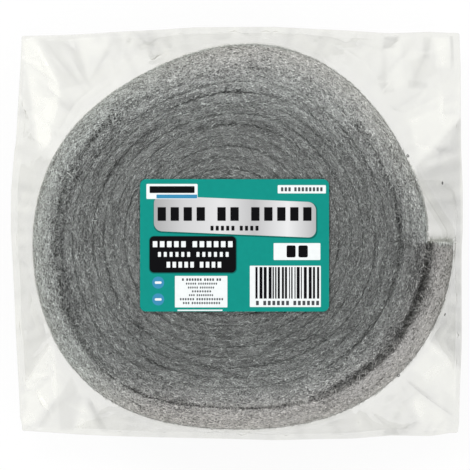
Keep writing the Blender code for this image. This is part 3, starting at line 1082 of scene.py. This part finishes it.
# Creases seen in the photo: two ends in its pixels, width and height in millimetres
photoCreases = (
    (31, 38, 57, 84, 7, 3.2),
    (57, 84, 50, 128, 9, 2.6),
    (72, 40, 88, 84, 6, -2.2),
    (114, 35, 89, 82, 6, -2.4),
    (50, 55, 63, 70, 3, 1.2),
    (142, 33, 133, 58, 5, -1.3),
    (168, 31, 170, 50, 5, -1.3),
    (212, 29, 211, 42, 6, 1.0),
    (417, 166, 459, 122, 8, 3.4),
    (391, 34, 384, 92, 8, -2.4),
    (433, 34, 414, 86, 7, -2.2),
    (401, 93, 408, 99, 3, 1.2),
    (434, 58, 442, 66, 3, 1.2),
    (428, 110, 447, 92, 5, 1.8),
    (453, 36, 454, 70, 3, -1.2),
    (431, 341, 459, 367, 8, 3.4),
    (394, 436, 402, 404, 7, -2.2),
    (428, 432, 411, 394, 8, 2.2),
    (446, 396, 420, 378, 6, 1.8),
    (52, 342, 29, 381, 8, 2.8),
    (56, 346, 58, 398, 8, 2.6),
    (57, 398, 34, 432, 7, -2.6),
    (24, 389, 34, 391, 3, 1.3),
    (84, 398, 73, 433, 6, 2.0),
    (88, 400, 105, 434, 6, -2.2),
)
# Painted highlights and shade on the film, in fields seen in the photo: corners in its pixels, added
# lightness, softness in pixels
paintedFilmFields = (
    (((413, 168), (462, 118), (463, 370), (427, 340)), -0.38, 4),
    (((20, 38), (32, 37), (58, 84), (60, 92), (52, 140), (44, 150), (31, 108)), 0.30, 5),
    (((36, 37), (70, 38), (86, 84), (62, 90)), -0.14, 4),
    (((74, 36), (112, 34), (89, 80)), 0.14, 3),
    (((118, 34), (150, 33), (104, 82), (92, 84)), -0.06, 5),
    (((150, 33), (172, 31), (168, 44), (140, 56)), -0.08, 5),
    (((28, 108), (40, 150), (52, 150), (50, 128)), 0.22, 4),
    (((18, 60), (30, 96), (38, 150), (17, 150)), -0.06, 5),
    (((416, 160), (459, 118), (459, 100), (408, 120)), 0.26, 5),
    (((386, 92), (404, 86), (402, 40), (386, 38)), 0.16, 5),
    (((414, 88), (440, 70), (438, 52), (410, 60)), -0.10, 5),
    (((384, 47), (396, 47), (400, 35), (386, 35)), -0.30, 3),
    (((378, 84), (394, 82), (394, 92), (382, 94)), -0.18, 3),
    (((408, 80), (428, 82), (430, 88), (408, 88)), -0.18, 3),
    (((425, 35), (433, 35), (430, 58), (424, 56)), -0.14, 3),
    (((436, 36), (452, 36), (456, 66), (438, 66)), 0.22, 4),
    (((452, 34), (455, 34), (456, 66), (453, 66)), -0.26, 1),
    (((430, 344), (459, 372), (458, 400), (410, 368)), 0.28, 5),
    (((385, 437), (400, 437), (398, 430), (386, 431)), -0.34, 3),
    (((384, 394), (396, 393), (392, 400), (384, 402)), -0.16, 3),
    (((424, 430), (432, 430), (430, 416), (424, 418)), -0.14, 3),
    (((424, 392), (442, 394), (440, 400), (426, 399)), -0.14, 3),
    (((412, 398), (440, 388), (450, 430), (420, 432)), 0.16, 6),
    (((52, 343), (57, 346), (57, 397), (34, 431), (21, 425), (20, 396), (28, 378)), 0.28, 4),
    (((58, 350), (66, 360), (83, 398), (72, 432), (36, 432), (58, 398)), -0.16, 4),
    (((73, 433), (84, 403), (97, 432)), 0.22, 3),
    (((88, 402), (92, 402), (107, 433), (101, 434)), -0.16, 3),
)
# Pleats that run out from the roll, and short creases that cross them: their counts and ranges in metres
crumple = {
    "seed": 3,
    "height": 0.0013,
    "radial": 110,
    "radialStart": (0.02, 0.3),
    "radialStop": (0.5, 1.0),
    "radialLean": 0.03,
    "radialWidth": (0.002, 0.006),
    "cross": 420,
    "crossPlace": (0.1, 0.95),
    "crossHalf": (0.004, 0.016),
    "crossShare": 0.35,
    "crossFull": 0.01,
    "crossWidth": (0.0015, 0.004),
}


# Place in the scene of a pixel of the photograph, at a known height
def photoPlace(x, y, height):
    scale = photo["metresPerPixel"] * (photo["distance"] + rollHigh.z - height) / photo["distance"]
    middle = photo["pixels"] / 2
    return photo["eyeX"] + (x - middle) * scale, photo["eyeY"] + (middle - y) * scale


# Painted highlights and shade of the film's fields: each is full inside its corners and fades over its
# softness beyond the edge
def paintedFilmLight(places):
    tone = np.zeros(len(places))
    level = bag["hemLevel"] + bag["creaseLevel"]
    for corners, lightness, soft in paintedFilmFields:
        ring = np.array([photoPlace(x, y, level) for x, y in corners])
        ahead = np.roll(ring, -1, axis=0) - ring
        area = (ring[:, 0] * np.roll(ring[:, 1], -1) - ring[:, 1] * np.roll(ring[:, 0], -1)).sum()
        normal = np.stack([-ahead[:, 1], ahead[:, 0]], axis=-1) * np.sign(area)
        normal /= np.linalg.norm(normal, axis=1, keepdims=True)
        inside = ((places[:, None, :2] - ring) * normal).sum(axis=2).min(axis=1)
        share = np.clip(0.5 + inside / (soft * photo["metresPerPixel"]), 0, 1)
        tone += lightness * share * share * (3 - 2 * share)
    return tone


# Sum of straight ridges: each falls off evenly to both sides and fades towards its two ends
def creaseRise(places, ends, widths, heights):
    rise = np.zeros(len(places))
    for (startX, startY, endX, endY), width, height in zip(ends, widths, heights):
        wayX, wayY = endX - startX, endY - startY
        along = (places[:, 0] - startX) * wayX + (places[:, 1] - startY) * wayY
        along = np.clip(along / (wayX * wayX + wayY * wayY), 0, 1)
        away = np.hypot(places[:, 0] - startX - along * wayX, places[:, 1] - startY - along * wayY)
        side = np.clip(1 - away / width, 0, 1)
        rise += height * side**1.25 * np.sqrt(np.sin(np.pi * np.clip(along, 0.03, 0.97)))
    return rise


# The photo's creases, pleats that run out from the roll, and short creases that cross them
def filmCreases(places):
    level = bag["hemLevel"] + bag["creaseLevel"]
    ends, widths, heights = [], [], []
    for startX, startY, endX, endY, width, height in photoCreases:
        ends.append((*photoPlace(startX, startY, level), *photoPlace(endX, endY, level)))
        widths.append(width / 1000)
        heights.append(height / 1000)

    def addCreases(starts, stops, widthRange, share):
        ends.extend(np.concatenate([starts, stops], axis=1).tolist())
        widths.extend(random.uniform(*widthRange, len(starts)).tolist())
        heights.extend((crumple["height"] * random.normal(0, 1, len(starts)) * share).tolist())

    random = np.random.default_rng(crumple["seed"])
    angle = random.uniform(0, 2 * np.pi, crumple["radial"])
    count, rim, hem = len(angle), rollHull(angle), hemRadius(angle)
    start = rim + (hem - rim) * random.uniform(*crumple["radialStart"], count)
    stop = rim + (hem - rim) * random.uniform(*crumple["radialStop"], count)
    lean = random.normal(0, crumple["radialLean"], count)
    starts, stops = polarPoints(start, angle, 0)[:, :2], polarPoints(stop, angle + lean, 0)[:, :2]
    addCreases(starts, stops, crumple["radialWidth"], 1)

    angle = random.uniform(0, 2 * np.pi, crumple["cross"])
    count, rim, hem = len(angle), rollHull(angle), hemRadius(angle)
    radius = rim + (hem - rim) * random.uniform(*crumple["crossPlace"], count)
    centre = polarPoints(radius, angle, 0)[:, :2]
    heading = random.uniform(0, np.pi, count)
    half = np.minimum(crumple["crossShare"] * (hem - rim), random.uniform(*crumple["crossHalf"], count))
    step = np.stack([half * np.cos(heading), half * np.sin(heading)], axis=-1)
    share = np.clip(half / crumple["crossFull"], 0, 1)
    addCreases(centre - step, centre + step, crumple["crossWidth"], share)
    return creaseRise(places, ends, widths, heights)


# Rings about the roll's axis: flat film, a round rim, a creased skirt to the hem, and the same below
def makeBag(material):
    angle = bagAngles()
    count = len(angle)
    near, turned = nearCorner(angle)
    look = math.radians(3)
    rim = np.max([rollHull(angle + step) for step in (-look, 0, look)], axis=0)
    rim = rim + bag["clearance"] + bag["film"]
    flat = rim - bag["rimFlat"]
    hem = hemRadius(angle)
    hemInside = hem - bag["hemWidth"]
    wave, waves = bag["hemWave"]
    level = bag["hemLevel"] - bag["cornerDroop"] * near + wave * np.sin(waves * angle) * (1 - near)
    above, below = level + bag["hemSlit"] / 2, level - bag["hemSlit"] / 2
    top, bottom = bagHigh.z, 0.0
    start, low = top - bag["rimDrop"], bottom + bag["rimDrop"]
    fold = bag["cornerFold"] * near * np.cos(np.pi * bag["cornerFolds"] * turned / bag["cornerSpread"])
    ripple = bag["sideRipple"] * (1 - near) * np.sin(bag["sideRipples"] * angle)
    rings, weights, hazes = [], [], []

    def ring(radius, height, weight, haze):
        rings.append(polarPoints(np.broadcast_to(radius, count), angle, height))
        weights.append(np.full(count, float(weight)))
        hazes.append(np.broadcast_to(haze, count).astype(float))

    # Radius and drop of the rim, a quarter of an ellipse
    def rimCurve(share):
        turn = share * np.pi / 2
        return rim - bag["rimFlat"] * (1 - math.sin(turn)), bag["rimDrop"] * (1 - math.cos(turn))

    # Radius of the skirt, with the share of its bulge
    def skirtCurve(share):
        swell = 4 * share * (1 - share)
        return rim + (hemInside - rim) * share + ripple * swell, swell

    outline = spiralRadius(wound + (angle - roll["endAngle"]) / (2 * np.pi) % 1)
    first, last, steps = bag["flatShares"]
    inner, outer = np.linspace(first, last, steps)[:-1], np.linspace(last, 1, bag["flatRings"])
    for share in np.concatenate([inner, outer]):
        free = np.clip((share * flat - outline) / 0.002, 0, 1)
        ring(share * flat, top, 0, np.maximum(free, bag["faceHaze"] * max(0, (share - 0.85) / 0.15) ** 2))
    for share in np.linspace(0, 1, bag["rimRings"] + 1)[1:]:
        radius, drop = rimCurve(share)
        least, more = bag["rimHaze"]
        ring(radius, top - drop, 0, least + more * np.clip((radius - outline + 0.0004) / 0.0012, 0, 1))
    for share in np.linspace(0, 1, bag["upperRings"] + 1)[1:]:
        radius, swell = skirtCurve(share)
        height = start + (above - start) * share ** (1 - bag["cornerSag"] * near) + fold * swell
        least, more = bag["skirtHaze"]
        ring(radius, height, min(1, 6 * share), least + more * min(1, 5 * share))
    for share in bag["hemShares"]:
        ring(hemInside + (hem - hemInside) * share, above, 1 - share, 1)
    upperCount = len(rings)
    lower, lowerHaze = bag["lowerRelief"], bag["lowerHaze"]
    for share in (*bag["hemShares"][::-1], 0):
        ring(hemInside + (hem - hemInside) * share, below, lower * (1 - share), lowerHaze)
    for share in np.linspace(1, 0, bag["lowerRings"] + 1)[1:]:
        height = low + (below - low) * share ** (1 + bag["cornerSag"] * near)
        ring(skirtCurve(share)[0], height, lower * min(1, 4 * share), lowerHaze)
    for share in np.linspace(1, 0, bag["rimRings"] + 1)[:-1]:
        radius, drop = rimCurve(share)
        ring(radius, bottom + drop, 0, bag["lowerRimHaze"])
    for share in np.linspace(1, first, steps):
        ring(share * flat, bottom, 0, bag["underHaze"])

    grid = np.stack(rings)
    around = np.roll(grid, -1, axis=1) - np.roll(grid, 1, axis=1)
    facing = np.cross(np.gradient(grid, axis=0), around)
    facing /= np.linalg.norm(facing, axis=2, keepdims=True) + 1e-12
    room = 0.4 * np.maximum(np.linalg.norm(grid[..., :2] - rollAxis, axis=2) - rim, 0)
    places = grid.reshape(-1, 3).copy()
    weight = np.concatenate(weights)
    moving = weight > 0
    rise = np.zeros(len(places))
    rise[moving] = filmCreases(places[moving]) * weight[moving]
    rise = np.maximum(rise, -room.ravel())
    upper = np.arange(len(places)) < upperCount * count
    places += facing.reshape(-1, 3) * np.where(upper, rise, lower * rise)[:, None]
    places[:, 2] = np.clip(places[:, 2], bottom, top)
    points = np.concatenate([places, [[*rollAxis, top], [*rollAxis, bottom]]])
    numbers = np.arange(len(places)).reshape(len(rings), count)
    following = np.roll(np.arange(count), -1)
    caps = np.concatenate([
        np.stack([np.full(count, len(places)), numbers[0], numbers[0][following]], axis=-1),
        np.stack([np.full(count, len(places) + 1), numbers[-1][following], numbers[-1]], axis=-1),
    ])
    made = addMesh("bagFilm", points, [gridFaces(numbers, closed=True), caps], material)
    haze = np.concatenate(hazes)
    # Painted highlights on crease ridges and painted shade in their folds, painted light and shade in bands
    # round the pleats, and the painted fields, all in the tone attribute
    strength, full = bag["creasePaintedLight"]
    paintedCreaseLight = strength * np.clip(rise / full, -1, 1)
    away = np.arctan2(places[:, 1] - rollAxis[1], places[:, 0] - rollAxis[0])
    strength, many, few = bag["pleatPaintedLight"]
    paintedPleatLight = strength * (np.sin(many * away) * np.sin(few * away + 1) * np.tile(1 - near, len(rings)))
    tone = np.where(upper, paintedFilmLight(places) + paintedCreaseLight + paintedPleatLight, 0) * np.minimum(1, haze * 2)
    # The painted light and shade also make the film milkier
    lit, dark = bag["paintedLightHaze"]
    addPointValues(made, "haze", np.append(haze * (1 + lit * tone + dark * np.maximum(-tone, 0)), [0, 0]))
    addPointValues(made, "tone", np.append(tone, [0, 0]))
    return made


# Rings with a thick rim, set into the film at the vent holes and facing as the film does there
def makeVents(film, material):
    places = np.empty(len(film.data.vertices) * 3, np.float32)
    film.data.vertices.foreach_get("co", places)
    facings = np.empty_like(places)
    film.data.vertices.foreach_get("normal", facings)
    places, facings = places.reshape(-1, 3), facings.reshape(-1, 3)
    points, faces, start = [], [], 0
    around = np.linspace(0, 2 * np.pi, 24, endpoint=False)
    section = np.linspace(0, 2 * np.pi, 8, endpoint=False)
    for pixelX, pixelY in bag["vents"]:
        x, y = photoPlace(pixelX, pixelY, bag["ventHeight"])
        reach = np.hypot(places[:, 0] - x, places[:, 1] - y) + (facings[:, 2] < 0.1)
        nearest = reach.argmin()
        up = facings[nearest] / np.linalg.norm(facings[nearest])
        side = np.cross(up, [0, 0, 1.0]) + 1e-6
        side /= np.linalg.norm(side)
        other = np.cross(up, side)
        out = side * np.cos(around)[:, None] + other * np.sin(around)[:, None]
        thick, high = bag["ventRim"]
        radius = bag["ventRadius"] + thick * np.cos(section)
        ring = out[None] * radius[:, None, None] + up * (high * np.sin(section))[:, None, None]
        points.append((places[nearest] + ring).reshape(-1, 3))
        rows = np.arange(len(section) * len(around)).reshape(len(section), -1)
        faces.append(gridFaces(np.concatenate([rows, rows[:1]]), closed=True) + start)
        start += len(points[-1])
    return addMesh("bagVents", np.concatenate(points), [np.concatenate(faces)], material)


clearFilm = {
    "cloud": (60, 5),
    "milk": (0.10, 0.22),
    "glossIor": 1.3,
    "glossShare": 0.15,
    "mostOpaque": 0.9,
    "cloudLight": (0.5, 0.32),
    "toneLight": 1.05,
    "dark": (0.10, 0.10, 0.06),
    "light": (0.95, 0.95, 0.81),
    "roughness": 0.22,
    "ior": 1.5,
}


# Clear film: light passes straight through but for a milky share, least where it lies on the wool
def filmMaterial(name):
    material, tree = emptyMaterial(name)
    cloud = noiseValue(tree, objectPlace(tree), *clearFilm["cloud"])
    strength = calculated(tree, "MULTIPLY_ADD", cloud, *clearFilm["milk"])
    gloss = addNode(tree, "Fresnel", {"IOR": clearFilm["glossIor"]}).outputs["Fac"]
    opacity = calculated(tree, "MULTIPLY", carried(tree, "haze"), strength)
    opacity = calculated(tree, "MULTIPLY_ADD", gloss, clearFilm["glossShare"], opacity)
    opacity = calculated(tree, "MINIMUM", opacity, clearFilm["mostOpaque"])
    lightness = calculated(tree, "MULTIPLY_ADD", cloud, *clearFilm["cloudLight"])
    # The tone attribute adds the painted highlights and shade of the creases, pleats and fields
    lightness = calculated(tree, "MULTIPLY_ADD", carried(tree, "tone"), clearFilm["toneLight"], lightness)
    surface = glossy(tree, {
        "Base Color": rampColour(tree, lightness, ((0, clearFilm["dark"]), (1, clearFilm["light"]))),
        "Roughness": clearFilm["roughness"],
        "IOR": clearFilm["ior"],
    })
    clear = addNode(tree, "BsdfTransparent", {}).outputs["BSDF"]
    return surfaced(material, mixedShaders(tree, opacity, clear, surface))


# The label: a teal sheet, with its fields as thin layers of ink
label = {
    "corner": 0.0052,
    "ink": 0.00006,
    "cornerSteps": 8,
    "discs": ((158.2, 282.6, 6.0), (158.2, 299.4, 6.0)),
    "barSeed": 4,
    "bars": (1.0, 1.4, 2.2, 3.0),
    "gaps": (0.9, 1.2, 1.9),
    "barMargin": 2.5,
    "dash": (3.4, 1.2, 1.1),
    "groupGap": 0.6,
}
# Plain fields in the photo's pixels: left, top, right, bottom, corner radius, ink, layer
labelFields = (
    (146.4, 183.9, 197.6, 199.0, 1.0, "white", 2),
    (149.6, 186.2, 194.6, 193.0, 0.8, "black", 3),
    (156.5, 194.6, 197.2, 198.4, 0.4, "blue", 3),
    (277.7, 185.1, 325.9, 193.4, 0.8, "white", 1),
    (149.6, 236.3, 236.0, 272.6, 4.5, "black", 1),
    (273.6, 243.1, 320.4, 260.0, 0.8, "white", 1),
    (286.6, 245.4, 295.6, 257.4, 1.6, "black", 2),
    (298.4, 245.4, 307.8, 257.4, 1.6, "black", 2),
    (249.8, 265.7, 320.8, 307.0, 0.6, "white", 1),
    (174.9, 275.9, 227.4, 307.4, 0.6, "white", 1),
    (177.5, 309.6, 222.5, 311.0, 0.3, "white", 1),
)
# Rows of plain dashes: left, top, right, bottom, dashes in each group, dash's share, ink, layer
labelRows = (
    (281.0, 187.3, 322.5, 191.3, (3, 8), 0.62, "grey", 2),
    (152.8, 241.2, 232.6, 247.2, (5, 6), 0.64, "white", 2),
    (158.0, 252.0, 228.6, 256.8, (6, 6), 0.50, "white", 2),
    (166.6, 261.8, 221.2, 267.6, (5, 4), 0.60, "white", 2),
    (256.0, 300.8, 319.0, 305.2, (1, 6, 6), 0.62, "grey", 2),
    (182.0, 278.4, 221.0, 280.8, (1, 6, 4, 2), 0.66, "grey", 2),
    (186.0, 282.7, 217.0, 284.6, (5, 9), 0.60, "grey", 2),
    (188.0, 286.6, 214.0, 288.5, (5, 7), 0.60, "grey", 2),
    (192.0, 290.4, 211.0, 292.3, (8,), 0.60, "grey", 2),
    (189.0, 294.2, 213.0, 296.1, (3, 8), 0.60, "grey", 2),
    (180.0, 298.1, 223.0, 300.2, (6, 11), 0.60, "grey", 2),
    (183.0, 302.0, 220.0, 304.1, (3, 12), 0.60, "grey", 2),
)
labelPlate = {"left": 153.9, "top": 195.4, "right": 316.0, "bottom": 231.0, "radius": 8, "slant": 6.8}
labelTitle = (157.6, 207.2, 311.5, 220.8, (4, 2, 5), 0.64)
labelSub = (210.5, 225.8, 258.5, 230.6, (5, 4), 0.58)
labelCode = {"left": 255.4, "top": 267.0, "right": 321.8, "bottom": 298.6}
inkColours = {
    "teal": (0.006, 0.257, 0.216),
    "shade": (0.004, 0.13, 0.11),
    "white": (0.80, 0.83, 0.83),
    "black": (0.004, 0.004, 0.005),
    "grey": (0.06, 0.065, 0.07),
    "blue": (0.045, 0.25, 0.43),
}


# Unevenness of printed ink, and the silver's run: pixels from left to right, and greys at shares of the way
printed = {
    "noise": (260, 3),
    "unevenness": (0.92, 1.06),
    "bump": (0.08, 0.0003),
    "roughness": 0.34,
    "specular": 0.04,
    "silverSpan": (150, 318),
    "silver": ((0.0, 0.36), (0.20, 0.60), (0.42, 0.74), (0.62, 0.50), (0.82, 0.80), (1.0, 0.42)),
    "silverGloss": 0.3,
}


# Printed ink with faint unevenness and a light orange-peel bump
def inkMaterial(name, colour):
    material, tree = emptyMaterial(name)
    noise = noiseValue(tree, objectPlace(tree), *printed["noise"])
    shades = [(*(min(1, share * value) for value in colour), 1) for share in printed["unevenness"]]
    return surfaced(material, glossy(tree, {
        "Base Color": mixedColour(tree, noise, *shades),
        "Normal": bumped(tree, noise, *printed["bump"]),
        "Roughness": printed["roughness"],
        "Specular IOR Level": printed["specular"],
    }))


# Closed outline of a rectangle with quarter-circle corners, its right side slid down by the slant
def roundedOutline(left, bottom, right, top, radius, slant=0.0):
    steps = np.linspace(0, np.pi / 2, label["cornerSteps"])
    low, high, near, far = bottom + radius, top - radius, left + radius, right - radius
    parts = []
    for number, (x, y) in enumerate(((far, high), (near, high), (near, low), (far, low))):
        turn = steps + number * np.pi / 2
        parts.append(np.stack([x + radius * np.cos(turn), y + radius * np.sin(turn)], axis=-1))
    outline = np.concatenate(parts)
    outline[:, 1] -= slant * (outline[:, 0] - left) / (right - left)
    return outline


# Points and faces of a flat plate: an upper and a lower copy of the outline, each a fan round its middle
def platePoints(outline, low, high):
    count = len(outline)
    middle = outline.mean(axis=0)
    points = np.concatenate([
        np.column_stack([outline, np.full(count, high)]),
        np.column_stack([outline, np.full(count, low)]),
        [[*middle, high], [*middle, low]],
    ])
    number = np.arange(count)
    following = np.roll(number, -1)
    caps = np.concatenate([
        np.stack([np.full(count, 2 * count), number, following], axis=-1),
        np.stack([np.full(count, 2 * count + 1), following + count, number + count], axis=-1),
    ])
    sides = np.stack([number, number + count, following + count, following], axis=-1)
    return points, caps, sides


def labelPlace(x, y):
    return photoPlace(x, y, labelHigh.z)


def fieldOutline(left, top, right, bottom, radius, slant=0.0):
    scale = photo["metresPerPixel"]
    x0, y0 = labelPlace(left, bottom)
    x1, y1 = labelPlace(right, top)
    return roundedOutline(x0, y0, x1, y1, radius * scale, slant * scale)


# One mesh of many plates of the same ink
def addPlates(name, outlines, low, high, material):
    points, caps, sides, start = [], [], [], 0
    for outline in outlines:
        platePart, capPart, sidePart = platePoints(outline, low, high)
        points.append(platePart)
        caps.append(capPart + start)
        sides.append(sidePart + start)
        start += len(platePart)
    faces = [np.concatenate(caps), np.concatenate(sides)]
    return addMesh(name, np.concatenate(points), faces, material, smooth=False)


# Plain dashes in groups along one line, a space apart, as outlines in the scene
def dashRow(left, top, right, bottom, groups, share):
    space = label["groupGap"]
    cell = (right - left) / (sum(groups) + space * (len(groups) - 1) - (1 - share))
    outlines, place = [], left
    for dashes in groups:
        for _ in range(dashes):
            outlines.append((place, top, place + share * cell, bottom))
            place += cell
        place += space * cell
    return outlines


# Silver ink that runs between grey and nearly white from left to right
def silverMaterial(name):
    material, tree = emptyMaterial(name)
    across = addNode(tree, "SeparateXYZ", {"Vector": objectPlace(tree)}).outputs["X"]
    share = ranged(tree, across, *(labelPlace(pixel, 0)[0] for pixel in printed["silverSpan"]))
    stops = [(place, (grey, grey, grey * 1.01)) for place, grey in printed["silver"]]
    colour = rampColour(tree, share, stops)
    gloss = printed["silverGloss"]
    return surfaced(material, glossy(tree, {"Base Color": colour, "Metallic": gloss, "Roughness": gloss}))


# The sheet, then one piece for each ink and layer, thicker by a coat for each layer
def makeLabel():
    layers = {}
    for *field, ink, layer in labelFields:
        layers.setdefault((ink, layer), []).append(fieldOutline(*field))
    for *row, ink, layer in labelRows:
        layers.setdefault((ink, layer), []).extend(fieldOutline(*dash, 0.3) for dash in dashRow(*row))
    wide, high, corner = label["dash"]
    for x, y, radius in label["discs"]:
        disc = fieldOutline(x - radius, y - radius, x + radius, y + radius, radius * 0.98)
        layers.setdefault(("blue", 1), []).append(disc)
        dash = fieldOutline(x - wide, y - high, x + wide, y + high, corner)
        layers.setdefault(("white", 2), []).append(dash)
    for row in (labelTitle, labelSub):
        layers[("black", 3)].extend(fieldOutline(*dash, 0.5) for dash in dashRow(*row))
    random = np.random.default_rng(label["barSeed"])
    start = labelCode["left"]
    while start < labelCode["right"] - label["barMargin"]:
        thick = random.choice(label["bars"])
        bar = fieldOutline(start, labelCode["top"], start + thick, labelCode["bottom"], 0.1)
        layers[("black", 2)].append(bar)
        start += thick + random.choice(label["gaps"])

    base = labelHigh.z
    inks = {ink: inkMaterial("label" + ink.title() + "Ink", colour) for ink, colour in inkColours.items()}
    sheet = roundedOutline(labelLow.x, labelLow.y, labelHigh.x, labelHigh.y, label["corner"])
    made = [addPlates("labelSheet", [sheet], labelLow.z, base, inks["teal"])]
    left, top, right, bottom, radius, slant = labelPlate.values()
    shades = [fieldOutline(left - 0.4, top + 0.2, right + 1.4, bottom + 1.6, radius, slant)]
    shades.append(fieldOutline(148.9, 235.8, 237.0, 273.6, 5.0))
    made.append(addPlates("labelShade", shades, base, base + 0.5 * label["ink"], inks["shade"]))
    plate = fieldOutline(*labelPlate.values())
    silver = silverMaterial("labelSilverInk")
    made.append(addPlates("labelSilver", [plate], base, base + label["ink"], silver))
    for (ink, layer), outlines in sorted(layers.items()):
        name = f"label{ink.title()}{layer}"
        made.append(addPlates(name, outlines, base, base + label["ink"] * layer, inks[ink]))
    return made


# Floor, light and camera
studio = {
    "floorHalf": 6.0,
    "floorLevel": -0.0004,
    "paper": (0.92, 0.92, 0.92, 1),
    "glow": 0.9,
    "white": (1, 1, 1, 1),
    "worldLight": (0.75, 1.0),
    "clipEnd": 50,
}
# Name, place, size in metres and power in watts of each lamp, which all face the origin
lamps = (
    ("keyLamp", (-0.9, 1.1, 1.7), 0.7, 20.0),
    ("fillLamp", (1.2, -1.0, 1.5), 0.7, 9.0),
)


# Paper that takes the shadow, and that camera, mirrors and clear film see as nearly white
def floorMaterial(name):
    material, tree = emptyMaterial(name)
    rays = addNode(tree, "LightPath", {}).outputs
    seen = calculated(tree, "MAXIMUM", rays["Is Camera Ray"], rays["Is Glossy Ray"])
    seen = calculated(tree, "MAXIMUM", seen, rays["Is Transmission Ray"])
    share = calculated(tree, "MULTIPLY", seen, studio["glow"])
    paper = addNode(tree, "BsdfDiffuse", {"Color": studio["paper"]}).outputs["BSDF"]
    glow = addNode(tree, "Emission", {"Color": studio["white"]}).outputs["Emission"]
    return surfaced(material, mixedShaders(tree, share, paper, glow))


def makeStudio():
    half, level = studio["floorHalf"], studio["floorLevel"]
    corners = [(-half, -half, level), (half, -half, level), (half, half, level), (-half, half, level)]
    floor = addMesh("floor", corners, [[(0, 1, 2, 3)]], floorMaterial("floorPaper"), smooth=False)

    world = bpy.data.worlds.new("studio")
    bpy.context.scene.world = world
    world.use_nodes = True
    tree = world.node_tree
    rays = addNode(tree, "LightPath", {}).outputs
    seen = calculated(tree, "MAXIMUM", rays["Is Camera Ray"], rays["Is Transmission Ray"])
    strength = ranged(tree, seen, 0, 1, *studio["worldLight"])
    wire(tree, tree.nodes["Background"], {"Strength": strength, "Color": studio["white"]})

    for name, place, size, power in lamps:
        data = bpy.data.lights.new(name, "AREA")
        data.shape, data.size, data.energy = "SQUARE", size, power
        lamp = addObject(name, data)
        lamp.location = place
        x, y, z = place
        lamp.rotation_euler = (math.atan2(math.hypot(x, y), z), 0, math.atan2(y, x) + math.pi / 2)

    data = bpy.data.cameras.new("camera")
    camera = addObject("camera", data)
    data.sensor_width = photo["sensorMm"]
    data.lens = photo["sensorMm"] * photo["distance"] / (photo["pixels"] * photo["metresPerPixel"])
    data.clip_end = studio["clipEnd"]
    camera.location = (photo["eyeX"], photo["eyeY"], rollHigh.z + photo["distance"])
    bpy.context.scene.camera = camera


bpy.context.scene.view_settings.view_transform = "Standard"
makeStudio()
print("studio ready")

bodySteel = steelMaterial("woolBodySteel", 0.02, 0.42, 0.6)
fibreSteel = steelMaterial("woolFibreSteel", 0.028, 1.0, 0.42)
rollPieces = [makeRollBody(bodySteel)]
print("roll body wound")
for number in range(fibres["topPieces"]):
    name = f"woolFibresTop{number + 1}"
    rollPieces.append(makeFaceFibres(name, fibres["perTopPiece"], fibres["seed"] + number, fibreSteel))
count, seed = fibres["underCount"], fibres["seed"] + 7
rollPieces.append(makeFaceFibres("woolFibresUnder", count, seed, fibreSteel, upper=False))
threadKinds = (
    (makeWallFibres, "woolFibresWall", "wallCount"),
    (makeEndFibres, "woolFibresEnd", "endCount"),
    (makeBridgeFibres, "woolFibresBridge", "bridgeCount"),
    (makeFuzz, "woolFuzz", "fuzzCount"),
)
for number, (makeThreads, name, count) in enumerate(threadKinds):
    rollPieces.append(makeThreads(name, fibres[count], fibres["seed"] + 8 + number, fibreSteel))
for piece in rollPieces:
    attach(piece, "root")
    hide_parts("wool_roll")
print("fibres laid")

bagPiece = makeBag(filmMaterial("clearFilm"))
ventPiece = makeVents(bagPiece, inkMaterial("meltedFilm", (0.10, 0.10, 0.10)))
for piece in (bagPiece, ventPiece):
    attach(piece, "root")
    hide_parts("bag")
print("bag made")

for piece in makeLabel():
    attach(piece, "root")
    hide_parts("label")
print("label printed")
